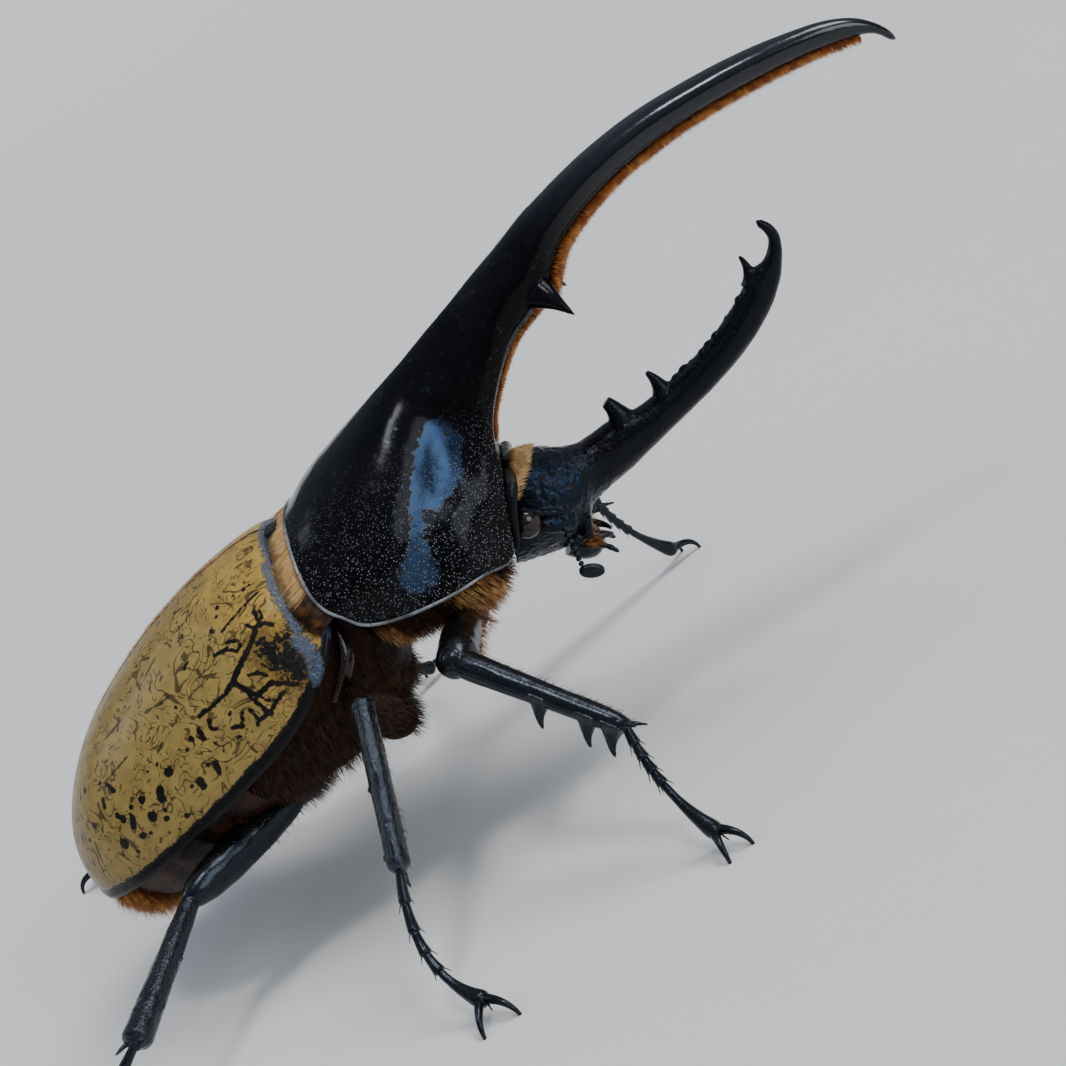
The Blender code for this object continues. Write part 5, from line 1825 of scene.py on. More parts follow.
    def sheet(self, side: Side) -> Surface:
        """One wing case's outer surface, with its distances from margin, suture and front edge."""
        rows = self.body.rows(20)
        bm = bmesh.new()
        bmesh.ops.create_grid(bm, x_segments=self.long_steps, y_segments=self.round_steps, size=1.0)
        from_margin = bm.verts.layers.float.new("from_margin")
        from_suture = bm.verts.layers.float.new("from_suture")
        from_front = bm.verts.layers.float.new("from_front")
        for vertex in bm.verts:
            along, around = (vertex.co.x + 1) / 2, ((vertex.co.y + 1) / 2) ** 1.25
            margin = self.point(rows, along, 0.0, side)
            vertex.co = self.point(rows, along, around, side)
            vertex[from_margin] = (vertex.co - margin).length
            vertex[from_suture] = abs(vertex.co.y)
            vertex[from_front] = rows[0][0] - vertex.co.x
        bmesh.ops.recalc_face_normals(bm, faces=bm.faces)
        face = max(bm.faces, key=lambda item: item.calc_center_median().z)
        if face.normal.z < 0:
            bmesh.ops.reverse_faces(bm, faces=bm.faces)
        return bm

    def seen_paths(self, tree: BVHTree) -> list[tuple[float, Array]]:
        """The marks' widths and their places on the right wing case."""
        found = [(width, self.camera.hits(tree, pixels)) for width, *pixels in self.marks]
        return [(width, places) for width, places in found if len(places)]

    def mirrored_paths(self, paths: Sequence[tuple[float, Array]]) -> list[tuple[float, Array]]:
        """The marks of the other wing case: like these, but each a little moved."""
        draw = np.random.default_rng(31)
        moved = []
        for width, places in paths:
            shift = draw.normal(0.0, 0.9, 3) * (1.0, 1.0, 0.4)
            moved.append((width * draw.uniform(0.8, 1.2), places * OTHER_SIDE + shift))
        return moved

    def paint(self, made: Thing, paths: Sequence, edges: dict[str, Array], veins: Sequence) -> None:
        """Write each vertex's distance from the marks, the dark shoulder, the painted sheen along the lip,
        and the veins.
        """
        places = vertex_array(made.data, "co")
        nearest = np.full(len(places), 9.0)
        for width, path in paths:
            share = self.spot_share if len(path) == 1 else self.stroke_share
            nearest = np.minimum(nearest, path_distance(places, path) - width * share)
        away = {name: path_distance(places, path) for name, path in edges.items()}
        write_field(made, "mark_distance", nearest)
        dark = np.minimum(away["shoulder"], away["smudge"] - self.smudge_share)
        write_field(made, "shoulder_distance", dark)
        write_field(made, "lip_sheen_distance", np.minimum(away["lip"], away["rim"] + self.rim_share))
        write_field(made, "vein_distance", np.min([path_distance(places, vein) for vein in veins], axis=0))

    def dress(self, shop: Workshop, coat: Coat) -> None:
        """Build both wing cases with their marks, thickness and rims."""
        right = self.sheet(Side.RIGHT)
        tree = BVHTree.FromBMesh(right)
        paths = self.seen_paths(tree)
        names = ("shoulder", "smudge", "lip", "rim")
        edges = {name: self.camera.hits(tree, getattr(self, name)) for name in names}
        veins = [self.camera.hits(tree, vein) for vein in self.veins]
        for side in Side:
            if side is Side.RIGHT:
                made = shop.thing("wing_case_right", right)
                self.paint(made, paths, edges, veins)
            else:
                made = shop.thing("wing_case_left", self.sheet(side))
                edges = {name: path * OTHER_SIDE for name, path in edges.items()}
                self.paint(made, self.mirrored_paths(paths), edges, [vein * OTHER_SIDE for vein in veins])
            thick = made.modifiers.new("thickness", "SOLIDIFY")
            thick.thickness = self.body.shell
            thick.offset = -1.0
            shop.bake(made)
            self.fringe(coat, made, side)
            shop.settle(made, WING_CASE, Slot.WING_CASE, ("elytron_" + side.word,))

    def fringe(self, coat: Coat, made: Thing, side: Side) -> None:
        """The short golden fuzz on both sides of the suture."""
        strip = zone((Measure.OUT, 1.9, 0.5), (Measure.X, -60.0, -40.0), (Measure.X, -24.5, -26.5))

        def seam(places: Array, normals: Array) -> Array:
            """The weight of the strip beside the suture, on the outer side."""
            return strip(places, normals) * (normals[:, 2] > 0.2)

        comb, style = toward((-0.7, 0.0, 0.25)), HairStyle(0.55, 0.022, lift=0.6)
        coat.cover(made, "wing_case_fuzz_" + side.word, 14.0, seam, comb, style, GOLDEN_HAIR, 33)


@dataclass(frozen=True)
class Underside:
    """The body below the shield and the wing cases: prosternum, thorax, belly and the small back shield."""

    body: HindBody
    plate_x: tuple[float, ...] = (-49.0, -54.0, -58.5, -62.5, -66.5, -70.0, -73.0)
    plate_step: float = 0.45
    inset_gap: float = 0.4

    def prosternum(self, shop: Workshop) -> Thing:
        """The underside of the prothorax."""
        sections = [
            Section(-20.5, 12.4, -20.5, 3.4, 12.4, 1.0),
            Section(-15.0, 8.9, -15.0, 1.0, 13.2, 1.0),
            Section(-9.5, 6.3, -9.5, -1.2, 12.6, 1.0),
            Section(-4.9, 4.6, -6.6, -1.0, 10.6, 1.0),
            Section(-2.6, 3.9, -4.2, 0.6, 7.6, 1.0),
        ]
        rings = [section_ring(section) for section in refine(sections, 8)]
        made = shop.thing("prosternum_skin", loft(rings, 6, 48))
        shop.melt(made, 0.4, 3)
        return made

    def thorax(self, shop: Workshop) -> Thing:
        """The thorax below the front of the wing cases."""
        inset = self.body.shell + self.inset_gap
        front = self.body.drawn_in(self.body.thorax_front, inset)
        rows = [front] + [row for row in self.body.rows(6, inset) if row[0] >= self.body.thorax_rear]
        made = shop.thing("thorax_skin", loft([self.body.dome(row) for row in rows], 40, 48))
        shop.melt(made, 0.45, 3)
        shop.roughen(made, lambda place: noise.noise(place * 0.45) * 0.25)
        return made

    def abdomen(self, shop: Workshop) -> Thing:
        """The hind end, with a raised rear edge on each belly plate."""
        inset = self.body.shell + self.inset_gap
        rows = [row for row in self.body.rows(9, inset) if row[0] < self.body.thorax_rear - GAP]
        rings = []
        for x, margin, crest, belly, width in rows:
            front = min([self.body.thorax_rear] + [edge for edge in self.plate_x if edge > x - 1e-6])
            rear = max([edge for edge in self.plate_x if edge < x - 1e-6] or [self.plate_x[-1] - 3.0])
            share = (front - x) / (front - rear)
            lift = self.plate_step * share ** 1.6
            rings.append(self.body.dome((x, margin, crest, belly - lift, width + lift * 0.5)))
        tip = (self.body.tip[0] + 1.6, 0.0, self.body.tip[2])
        made = shop.thing("belly_plates", loft(rings, 40, 64, tip=tip))
        shop.roughen(made, lambda place: noise.noise(place * 0.7) * 0.12)
        return made

    def dress(self, shop: Workshop, coat: Coat) -> None:
        """Build and finish the underside and let its hair grow."""
        front, middle, rear = self.prosternum(shop), self.thorax(shop), self.abdomen(shop)
        self.grow_front(coat, front)
        self.grow_middle(coat, middle)
        self.grow_rear(coat, rear)
        shop.settle(front, HIDE, Slot.HAIR, ("prosternum",))
        shop.settle(middle, HIDE, Slot.HAIR, ("thorax",))
        for side in Side:
            plate = shop.thing("side_plate_" + side.word, self.side_plate(side))
            shop.settle(plate, BROWN_SHELL, Slot.BROWN)
        shop.settle(rear, BELLY_SHELL, Slot.BROWN, ("abdomen",))
        rings = [section_ring(section) for section in refine(self.body.scutellum, 5)]
        back_shield = shop.thing("small_back_shield", loft(rings, 24, 4))
        shop.settle(back_shield, BLACK_SHELL, Slot.BLACK, ("scutellum",))

    def grow_front(self, coat: Coat, made: Thing) -> None:
        """The prosternum's hair: golden under the shield's front and in a strip at its rear, else dark."""
        sides = ((Measure.FACING_OUT, 0.15, 0.5), (Measure.FACING_UP, 0.5, 0.0))
        strip = zone((Measure.X, -18.2, -19.0), (Measure.Z, 9.5, 7.5))
        front = zone((Measure.X, -11.5, -9.0), (Measure.X, -5.0, -6.2))
        on_sides = zone(*sides)

        def bright(places: Array, normals: Array) -> Array:
            """The weight of the lower sides' front part and of the strip along their rear edge."""
            return on_sides(places, normals) * np.maximum(front(places, normals), strip(places, normals))

        comb = splayed((0.15, 0.2, -0.95))
        style = HairStyle(1.9, 0.036, lift=0.2, wave=0.1, clump=0.8)
        coat.cover(made, "prosternum_hair", 26.0, bright, comb, style, GOLDEN_HAIR, 41)
        dark = zone(*sides, (Measure.X, -10.0, -12.0))
        coat.cover(made, "prosternum_fuzz", 5.4, dark, comb, HairStyle(1.5, 0.03, lift=0.3), BROWN_HAIR, 55)
        below = zone((Measure.FACING_UP, -0.5, -0.8))
        coat.cover(made, "breast_hair", 6.0, below, comb, HairStyle(1.8, 0.04), BROWN_HAIR, 43)

    def grow_middle(self, coat: Coat, made: Thing) -> None:
        """The thorax: dark fine hair on its sides, and a brown patch above the middle leg."""

        def patch(places: Array, normals: Array) -> Array:
            """The weight of the patch above the middle leg."""
            away = np.linalg.norm((places - (-27.0, 0.0, 2.5))[:, (0, 2)], axis=1)
            return smooth_share(away, 4.2, 2.6) * smooth_share(np.abs(places[:, 1]), 6.0, 9.0)

        comb = splayed((-0.3, 0.12, -0.85))
        flank = zone((Measure.X, -22.0, -25.0), (Measure.Z, 9.5, 7.0), (Measure.FACING_UP, -0.97, -0.8))
        style = HairStyle(1.9, 0.028, lift=0.25, wave=0.08)
        coat.cover(made, "thorax_hair", 13.0, flank, comb, style, DARK_BRISTLE, 47)
        coat.cover(made, "thorax_patch", 22.0, patch, comb, HairStyle(1.6, 0.03, lift=0.3), BROWN_HAIR, 45)

    def side_plate(self, side: Side) -> Surface:
        """The shiny brown plate edge on the thorax's side, in front of and below the wing case's shoulder."""
        path = side.path(((-22.2, 13.6, 13.6), (-23.4, 15.4, 10.6), (-25.8, 16.6, 8.6), (-29.0, 17.5, 7.4)))
        rows = refine([tuple(point) for point in path], 8)
        outward = side.set((0.25, 0.85, -0.25)).normalized()
        deep = side.set((-0.75, 0.4, -0.65)).normalized().cross(outward).normalized()
        rings = []
        for index, row in enumerate(rows):
            size = 0.25 + 0.5 * math.sin(math.pi * index / (len(rows) - 1))
            rings.append(Ring(Vector(row), deep * size * 1.3, outward * size, -outward * size))
        return loft(rings, 8, 8)

    def grow_rear(self, coat: Coat, made: Thing) -> None:
        """The belly: a sparse row on each plate's edge and a tuft at the tip."""

        def rows(places: Array, normals: Array) -> Array:
            """The weight of the plates' rear edges."""
            near = np.min(np.abs(places[:, 0][:, None] - np.array(self.plate_x)[None]), axis=1)
            return smooth_share(near, 0.9, 0.3) * smooth_share(places[:, 2], 8.0, 6.0)

        style = HairStyle(0.9, 0.022, lift=0.4)
        coat.cover(made, "belly_hair", 4.0, rows, toward((-0.8, 0.0, -0.3)), style, BROWN_HAIR, 51)
        tuft = zone((Measure.X, -66.5, -69.0), (Measure.Z, 9.0, 7.5))
        style = HairStyle(2.6, 0.036, lift=0.3, clump=0.5)
        coat.cover(made, "tail_tuft", 40.0, tuft, toward((-0.25, 0.0, -0.95)), style, ORANGE_HAIR, 53)


@dataclass(frozen=True)
class Neck:
    """The fringe of hair along the shield's rear edge."""

    shield: Shield
    hairs: int = 16000
    depth: float = 1.3
    outline_steps: int = 240

    def band(self, ring: Ring, count: int, depth: float, seed: int) -> Roots:
        """Roots over the upper half of a ring, a little inside it, facing out of the body."""
        draw = np.random.default_rng(seed)
        shares = draw.random(count)
        steps = self.outline_steps
        outline = np.array([list(point) for point in ring_points(ring, steps, 2)[: steps + 1]])
        place = shares * steps
        index = np.minimum(place.astype(int), steps - 1)
        part = (place - index)[:, None]
        edge = outline[index] * (1 - part) + outline[index + 1] * part
        inward = unit(np.array(ring.centre)[None] - edge)
        return Roots(edge + inward * draw.uniform(0.1, depth, (count, 1)), -inward)

    def dress(self, coat: Coat) -> None:
        """Grow the fringe along the shield's rear edge: golden at the shoulder and dark brown below."""
        roots = self.band(section_ring(self.shield.sections()[0]), self.hairs, self.depth, 61)
        shift = [self.shield.bulge(Vector(place)) + 0.1 for place in roots.places]
        roots = Roots(roots.places + np.outer(shift, (1.0, 0.0, 0.0)), roots.normals)
        back = toward((-1.0, 0.0, -0.12))
        style = HairStyle(3.9, 0.042, spread=0.13, lift=0.06, droop=0.2, wave=0.05)
        for name, low, high, finish, seed in (
            ("rear_fringe_top", 18.9, 24.9, PALE_HAIR, 62),
            ("rear_fringe_low", 14.8, 19.4, BROWN_HAIR, 63),
        ):
            height = roots.places[:, 2]
            kept = (height > low) & (height < high)
            coat.grow(name, Roots(roots.places[kept], roots.normals[kept]), back, style, finish, seed)


class Joints(NamedTuple):
    """The joints of one leg, each with its outward distance as y; the foot is given in plan."""

    root: Triple
    hip: Triple
    knee: Triple
    ankle: Triple
    foot: tuple[float, float]


@dataclass(frozen=True)
class LegBuild:
    """The sizes of one pair's joints: rows of share of the length, half width and half depth."""

    coxa: tuple[Triple, ...]
    femur: tuple[Triple, ...]
    tibia: tuple[Triple, ...]
    teeth: tuple[float, ...]
    tooth_length: float
    edge: Triple
    claw_spread: float
    lift: float
    bow: float
    fold: float
    toe_shares: tuple[float, ...]


FORE = LegBuild(
    coxa=((0.0, 2.6, 2.6), (0.45, 3.3, 3.2), (0.85, 3.2, 3.0), (1.1, 2.5, 2.3), (1.28, 1.3, 1.2)),
    femur=(
        (0.0, 1.6, 1.8), (0.12, 2.0, 2.4), (0.4, 2.4, 2.9),
        (0.75, 2.4, 2.8), (0.95, 2.4, 2.7), (1.07, 1.5, 1.8),
    ),
    tibia=(
        (0.0, 1.3, 1.3), (0.07, 1.85, 1.75), (0.25, 1.8, 1.7),
        (0.55, 1.6, 1.5), (0.88, 1.5, 1.4), (1.0, 1.1, 1.0),
    ),
    teeth=(0.52, 0.80, 0.94),
    tooth_length=3.7,
    edge=(-0.69, 0.32, -0.65),
    claw_spread=1.8,
    lift=0.6,
    bow=2.4,
    fold=0.02,
    toe_shares=(0.14, 0.11, 0.11, 0.11, 0.53),
)
MID = LegBuild(
    coxa=((0.0, 2.6, 2.6), (0.45, 3.2, 3.2), (0.85, 3.0, 3.0), (1.1, 2.4, 2.3), (1.28, 1.3, 1.2)),
    femur=(
        (0.0, 1.5, 1.6), (0.12, 1.8, 2.1), (0.4, 2.1, 2.6),
        (0.75, 1.9, 2.3), (0.95, 1.5, 1.8), (1.05, 0.9, 1.1),
    ),
    tibia=(
        (0.0, 1.2, 1.2), (0.07, 1.4, 1.4), (0.5, 1.45, 1.4),
        (0.85, 1.5, 1.4), (0.97, 1.55, 1.45), (1.0, 1.25, 1.2),
    ),
    teeth=(0.5, 0.92),
    tooth_length=1.3,
    edge=(-0.86, 0.25, 0.45),
    claw_spread=2.4,
    lift=0.0,
    bow=6.0,
    fold=0.05,
    toe_shares=(0.18, 0.17, 0.15, 0.14, 0.36),
)
HIND = LegBuild(
    coxa=((0.0, 1.6, 3.4), (0.45, 2.0, 4.0), (0.85, 1.9, 3.6), (1.1, 1.6, 2.6), (1.28, 0.9, 1.4)),
    femur=(
        (0.0, 1.6, 1.9), (0.12, 2.2, 2.6), (0.4, 2.6, 3.1),
        (0.75, 2.5, 2.9), (0.95, 2.0, 2.3), (1.05, 1.1, 1.3),
    ),
    tibia=(
        (0.0, 1.0, 1.0), (0.1, 1.3, 1.25), (0.5, 1.65, 1.5),
        (0.85, 1.9, 1.7), (0.97, 2.0, 1.8), (1.0, 1.4, 1.3),
    ),
    teeth=(0.46, 0.78),
    tooth_length=1.7,
    edge=(-0.5, 0.6, -0.62),
    claw_spread=2.0,
    lift=1.0,
    bow=0.0,
    fold=0.05,
    toe_shares=(0.18, 0.17, 0.15, 0.14, 0.36),
)
BUILDS = {Pair.FORE: FORE, Pair.MID: MID, Pair.HIND: HIND}
JOINTS = {
    (Pair.FORE, Side.RIGHT): Joints(
        (-10.1, 4.0, 2.6), (-12.2, 9.5, 0.9), (-12.6, 25.0, 2.3),
        (-1.5, 38.0, -13.7), (-1.0, 48.6),
    ),
    (Pair.FORE, Side.LEFT): Joints(
        (-10.1, 4.0, 2.6), (-11.8, 9.5, 0.9), (-11.8, 25.0, 2.4),
        (1.8, 37.0, -13.6), (4.6, 46.5),
    ),
    (Pair.MID, Side.RIGHT): Joints(
        (-29.5, 4.0, -1.0), (-27.8, 9.5, -2.4), (-24.5, 25.2, 6.4),
        (-30.9, 42.0, -5.6), (-31.6, 57.6),
    ),
    (Pair.MID, Side.LEFT): Joints(
        (-29.5, 4.0, -1.0), (-28.2, 9.5, -2.4), (-25.6, 25.2, 6.2),
        (-34.0, 41.0, -5.4), (-38.0, 55.0),
    ),
    (Pair.HIND, Side.RIGHT): Joints(
        (-42.5, 4.0, -1.0), (-44.6, 9.8, 0.3), (-58.2, 23.2, 4.1),
        (-67.6, 44.0, 2.2), (-90.0, 55.0),
    ),
    (Pair.HIND, Side.LEFT): Joints(
        (-42.5, 4.0, -1.0), (-44.6, 9.8, 0.3), (-59.6, 23.4, 4.1),
        (-79.4, 38.0, 3.4), (-100.0, 48.0),
    ),
}


class Leg:
    """One leg: hip joint, thigh, toothed shin with spurs, and a jointed foot with two claws."""

    SPUR_LENGTH = 3.0
    CLAW_REACH = 3.2
    WRIST_HEIGHT = 2.1
    TOE = ((-0.08, 0.3), (0.06, 0.52), (0.35, 0.58), (0.75, 0.7), (0.93, 0.76), (1.02, 0.62), (1.05, 0.35))
    LAST_TOE = ((-0.04, 0.3), (0.05, 0.5), (0.3, 0.56), (0.65, 0.85), (0.9, 1.12), (0.99, 0.85), (1.03, 0.4))

    def __init__(self, pair: Pair, side: Side, posture: Posture) -> None:
        """Keep the leg's sizes and place its joints on its side."""
        self.pair = pair
        self.side = side
        self.build = BUILDS[pair]
        self.posture = posture
        joints = JOINTS[(pair, side)]
        self.root, self.hip, self.knee, self.ankle = (side.set(point) for point in joints[:4])
        self.foot = Vector((joints.foot[0], joints.foot[1] * side.value, posture.floor_z(joints.foot[0])))

    def title(self, joint: str) -> str:
        """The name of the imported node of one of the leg's joints."""
        return "_".join((self.pair.value, joint, self.side.word))

    def edge(self, along: Vector) -> Vector:
        """The direction in which the shin's teeth point."""
        aim = self.side.set(self.build.edge)
        return (aim - along * aim.dot(along)).normalized()

    def rounded(self, start: Vector, end: Vector, shape: Sequence[Triple], upright: Vector) -> Surface:
        """A limb through its rows, with a domed cap at each end."""
        first, last = shape[0], shape[-1]
        full = [(first[0] - 0.03, first[1] * 0.5, first[2] * 0.5), *shape]
        full.append((last[0] + 0.02, last[1] * 0.6, last[2] * 0.6))
        return loft(limb_rings(start, end, full, upright, 7), 22, 22)

    def plain_limb(
        self, shop: Workshop, joint: str, bm: Surface, voxel: float, lumps: tuple[float, float]
    ) -> Thing:
        """A hip joint or thigh in its even skin, with faint lumps of a scale and a height."""
        made = shop.thing(self.title(joint), bm)
        shop.melt(made, voxel, 3)
        shop.roughen(made, lambda place: noise.noise(place * lumps[0]) * lumps[1])
        return made

    def shin(self, shop: Workshop) -> Thing:
        """The shin with its knee cap, teeth, ridges and spurs."""
        start, end = self.knee, self.ankle
        along = (end - start).normalized()
        edge = self.edge(along)
        flat = along.cross(edge)
        build = self.build
        parts = [self.rounded(start, end, build.tibia, edge)]
        parts.append(ball(start, (build.tibia[1][1] * 1.08,) * 3, fineness=20))
        for share in build.teeth:
            root = start.lerp(end, share) + edge * 0.3
            tip = root + (edge + along * 0.38) * build.tooth_length
            tooth = Thorn(1.15, 0.14, flare=1.9, taper=0.8)
            parts.append(tooth.mesh(root, root + edge * build.tooth_length * 0.7, tip))
        for lean in (-1, 1):
            root = end - along * 0.8 + flat * lean * 0.7
            tip = root + along * self.SPUR_LENGTH + flat * lean * 0.9 - edge * 0.8
            parts.append(Thorn(0.5, 0.12, taper=0.9).mesh(root, root.lerp(tip, 0.5) + flat * lean * 0.3, tip))
        made = shop.thing(self.title("shin"), gather(parts))
        shop.melt(made, 0.15, 2)
        fold = build.fold

        def lift(place: Vector) -> float:
            """Lengthwise ridges and lumps of the shin."""
            away = place - start
            run = away.dot(along)
            level = noise.noise(Vector((run * 0.35, away.dot(edge) * 1.3, away.dot(flat) * 1.3)) + start)
            return level * fold * 1.6 + noise.noise(place * 1.6) * fold * 0.8

        shop.roughen(made, lift)
        return made

    def toes(self, shop: Workshop) -> Thing:
        """The foot's five joints with their spines, and the two claws, cut level with the floor."""
        up = self.posture.floor_up()
        level = (self.foot - self.ankle) - up * (self.foot - self.ankle).dot(up)
        ahead = level.normalized()
        sideways = up.cross(ahead)
        wrist = self.foot - ahead * self.CLAW_REACH + up * self.WRIST_HEIGHT
        bow = Vector((-self.build.bow, 0.0, 0.0))
        path = (self.ankle, self.ankle.lerp(wrist, 0.55) + up * self.build.lift + bow, wrist)
        parts = []
        done = 0.0
        for number, share in enumerate(self.build.toe_shares):
            parts += self.toe(path, done, share, sideways, number == len(self.build.toe_shares) - 1)
            done += share
        spread = self.build.claw_spread
        for lean in (-1, 1):
            root = wrist - (wrist - path[1]).normalized() * 0.6 + sideways * lean * 0.25
            tip = self.foot + sideways * lean * spread - up * 0.3
            bend = wrist + ahead * self.CLAW_REACH + sideways * lean * spread * 0.9 + up * 0.3
            parts.append(Thorn(0.66, 0.2, sides=16, steps=18, sharp=False, taper=0.9).mesh(root, bend, tip))
        onychium = (wrist + ahead * 0.4, wrist + ahead * 1.2 - up * 0.2, wrist + ahead * 1.9 - up * 0.5)
        parts.append(Thorn(0.14, 0.08, sides=8).mesh(*onychium))
        bm = gather(parts)
        everything = bm.verts[:] + bm.edges[:] + bm.faces[:]
        bmesh.ops.bisect_plane(bm, geom=everything, plane_co=self.foot, plane_no=-up, clear_outer=True)
        bmesh.ops.holes_fill(bm, edges=[edge for edge in bm.edges if edge.is_boundary])
        return shop.thing(self.title("toes"), bm)

    def toe(
        self, path: Sequence[Vector], done: float, share: float, sideways: Vector, is_last: bool
    ) -> list[Surface]:
        """One joint of the foot: narrow at its root and flared at its end, with spines there."""
        rings = []
        for part, size in refine(self.LAST_TOE if is_last else self.TOE, 4):
            place = done + share * part
            heading = curve_heading(path, place)
            deep = heading.cross(sideways).normalized()
            across = deep.cross(heading).normalized()
            rings.append(Ring(curve_point(path, place), across * size, deep * size, -deep * size))
        parts = [loft(rings, 9, 9)]
        if is_last:
            return parts
        end = curve_point(path, done + share * 0.92)
        heading = curve_heading(path, done + share, 0.01)
        deep = heading.cross(sideways).normalized()
        for lean, low in ((-1, 0.2), (1, 0.2), (-0.45, 0.9), (0.45, 0.9)):
            root = end + sideways * lean * 0.55 - deep * low * 0.5
            tip = root + heading * 1.1 + sideways * lean * 0.55 - deep * low * 0.4
            bend = root.lerp(tip, 0.5) + sideways * lean * 0.1
            parts.append(Thorn(0.1, 0.03, sides=6, steps=4).mesh(root, bend, tip))
        return parts

    def dress(self, shop: Workshop, coat: Coat) -> None:
        """Build and finish the leg's four joints, and grow their bristles."""
        side_on = Vector((1.0, 0.0, 0.0))
        build, pair = self.build, self.pair
        bare_hip = self.rounded(self.root, self.hip, build.coxa, side_on)
        hip = self.plain_limb(shop, "hip", bare_hip, 0.26, (0.7, 0.12))
        bare_thigh = self.rounded(self.hip, self.knee, build.femur, side_on)
        thigh = self.plain_limb(shop, "thigh", bare_thigh, 0.22, (0.6, 0.08))
        shin, toes = self.shin(shop), self.toes(shop)
        seed = 70 + 10 * list(Pair).index(pair) + (self.side is Side.LEFT)
        fur = ORANGE_HAIR if pair is Pair.FORE else DARK_BRISTLE
        thigh_limits = {Pair.FORE: (0.75, 0.95), Pair.MID: (-0.4, 0.4), Pair.HIND: (0.9, 1.0)}[pair]
        lower_edge = facing(self.side.set((0.25, 0.0, -0.95)), *thigh_limits)
        comb = toward((self.knee - self.hip).normalized() * 0.6 + Vector((0.3, 0.0, -0.7)))
        style = HairStyle(0.9 if pair is Pair.HIND else 1.4, 0.03, lift=0.4, clump=0.4)
        coat.cover(thigh, self.title("thigh_hair"), 6.0, lower_edge, comb, style, fur, seed)
        front_and_below = facing((1.0, 0.0, -0.5), 0.2, 0.7)
        comb = toward(self.side.set((0.35, 0.3, -0.85)))
        style = HairStyle(1.7, 0.034, lift=0.4, clump=0.5)
        coat.cover(hip, self.title("hip_hair"), 6.0, front_and_below, comb, style, fur, seed + 2)
        along = np.array((self.ankle - self.knee).normalized())
        edge = np.array(self.edge(Vector(along)))
        comb = toward(along * 0.9 - edge * 0.4)
        style = HairStyle(0.9, 0.025, lift=0.4)
        inner_edge = facing(-edge, 0.6, 0.95)
        coat.cover(shin, self.title("shin_hair"), 2.0, inner_edge, comb, style, DARK_BRISTLE, seed + 4)
        hip_finish = {Pair.FORE: BROWN_SHELL, Pair.MID: HIDE, Pair.HIND: LEG_SHELL}[pair]
        thigh_finish = HIDE if pair is Pair.MID else LEG_SHELL
        shin_finish = LEG_SHELL if pair is Pair.FORE else ROUGH_LEG_SHELL
        dressed = ((hip, hip_finish, "coxa"), (thigh, thigh_finish, "femur"), (shin, shin_finish, "tibia"))
        for made, finish, joint in (*dressed, (toes, LEG_SHELL, "tarsus")):
            shop.settle(made, finish, Slot.BLACK, (self.title(joint),))


@dataclass(frozen=True)
class Lamp:
    """A far, round, soft lamp: the direction it stands in, how wide it looks and how much light it gives."""

    name: str
    direction: Triple
    width: float
    strength: float
    colour: Colour

    def build(self) -> Thing:
        """Make the lamp."""
        data = bpy.data.lights.new(self.name, "SUN")
        data.angle = math.radians(self.width)
        data.energy = self.strength
        data.color = self.colour
        lamp = bpy.data.objects.new(self.name, data)
        lamp.location = Vector(self.direction).normalized()
        lamp.rotation_euler = Vector(self.direction).to_track_quat("Z", "Y").to_euler()
        bpy.context.scene.collection.objects.link(lamp)
        return lamp


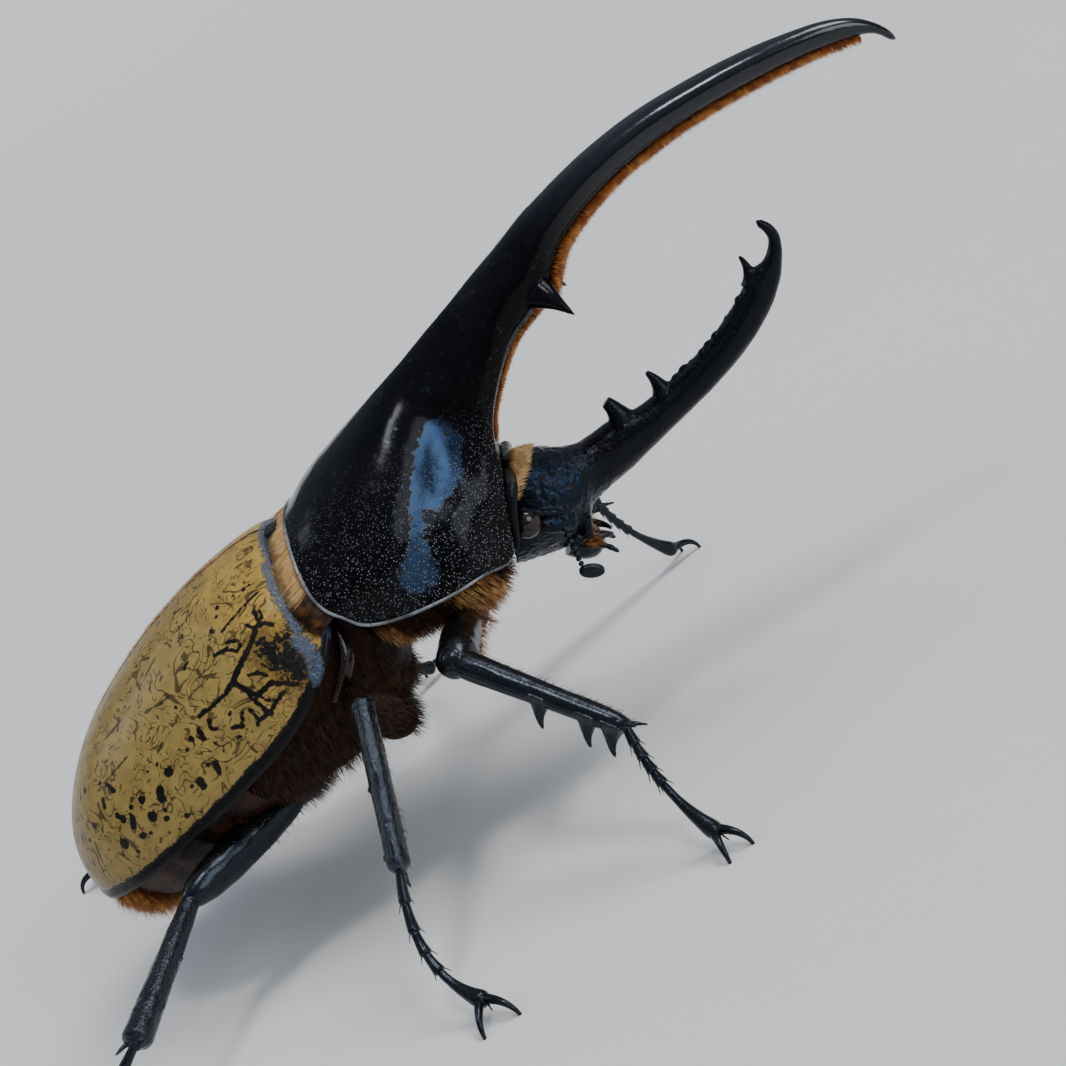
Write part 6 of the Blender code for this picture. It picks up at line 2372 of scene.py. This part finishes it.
@dataclass(frozen=True)
class Studio:
    """The floor, the sky and the lamps."""

    flat_radius: float = 1.6
    floor_radius: float = 4.0
    floor_rise: float = 0.6
    floor_sides: int = 96
    rise_steps: int = 12
    zenith: Colour = (0.34, 0.41, 0.52)
    horizon: Colour = (0.11, 0.115, 0.12)
    lamps: tuple[Lamp, ...] = (
        Lamp("key_light", (0.50, 0.10, 0.86), 24.0, 1.3, (1.0, 0.98, 0.95)),
        Lamp("glint_light", (0.10, -0.20, 0.95), 12.0, 0.8, (1.0, 1.0, 1.0)),
        Lamp("side_light", (0.62, -0.60, 0.50), 36.0, 1.25, (0.90, 0.95, 1.0)),
        Lamp("rear_light", (-0.75, 0.30, 0.60), 24.0, 0.3, (0.90, 0.95, 1.0)),
    )

    def floor(self) -> Surface:
        """A level disc whose far edge rises, so that no horizon shows."""
        bm = bmesh.new()
        bmesh.ops.create_circle(bm, cap_ends=True, segments=self.floor_sides, radius=self.flat_radius)
        loop = [edge for edge in bm.edges if edge.is_boundary]
        steps = self.rise_steps
        for step in range(1, steps + 1):
            made = bmesh.ops.extrude_edge_only(bm, edges=loop)["geom"]
            radius = self.flat_radius + (self.floor_radius - self.flat_radius) * step / steps
            for vertex in [item for item in made if isinstance(item, bmesh.types.BMVert)]:
                plan = Vector((vertex.co.x, vertex.co.y, 0.0)).normalized() * radius
                vertex.co = (plan.x, plan.y, self.floor_rise * (step / steps) ** 2)
            loop = [item for item in made if isinstance(item, bmesh.types.BMEdge)]
        return bm

    def sky(self) -> bpy.types.World:
        """The sky: soft and bluish above, and dim towards the horizon."""
        world = bpy.data.worlds.new("sky")
        world.use_nodes = True
        graph = Graph(world.node_tree)
        direction = graph.add("ShaderNodeTexCoord").outputs["Generated"]
        upward = graph.add("ShaderNodeSeparateXYZ", {"Vector": direction})
        shade = graph.mix(graph.step(upward.outputs[2], 0.1, 0.8), self.horizon, self.zenith)
        background = world.node_tree.nodes["Background"]
        graph.feed(background.inputs["Color"], shade)
        return world

    def build(self) -> None:
        """Make the floor, the sky and the lamps."""
        mesh = bpy.data.meshes.new("floor")
        bm = self.floor()
        bm.to_mesh(mesh)
        bm.free()
        mesh.shade_smooth()
        floor = bpy.data.objects.new("floor", mesh)
        bpy.context.scene.collection.objects.link(floor)
        floor.data.materials.append(FloorFinish().material())
        bpy.context.scene.world = self.sky()
        for lamp in self.lamps:
            lamp.build()


def main() -> None:
    """Build every part of the beetle, the floor, the lights and the camera."""
    logging.basicConfig(level=logging.INFO, format="%(name)s: %(message)s")
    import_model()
    posture = Posture()
    shop = Workshop(posture)
    coat = Coat(shop)
    camera = PhotoCamera()
    shield = Shield(camera)
    body = HindBody()
    shell = shield.build(shop)
    shield.dress(shop, coat, shell)
    Neck(shield).dress(coat)
    Head(shield).dress(shop, coat)
    WingCases(body, camera).dress(shop, coat)
    Underside(body).dress(shop, coat)
    for pair in Pair:
        for side in Side:
            Leg(pair, side, posture).dress(shop, coat)
    LOG.info("coat: %d faces", coat.total)
    Studio().build()
    camera.build(posture)


if __name__ == "__main__":
    main()
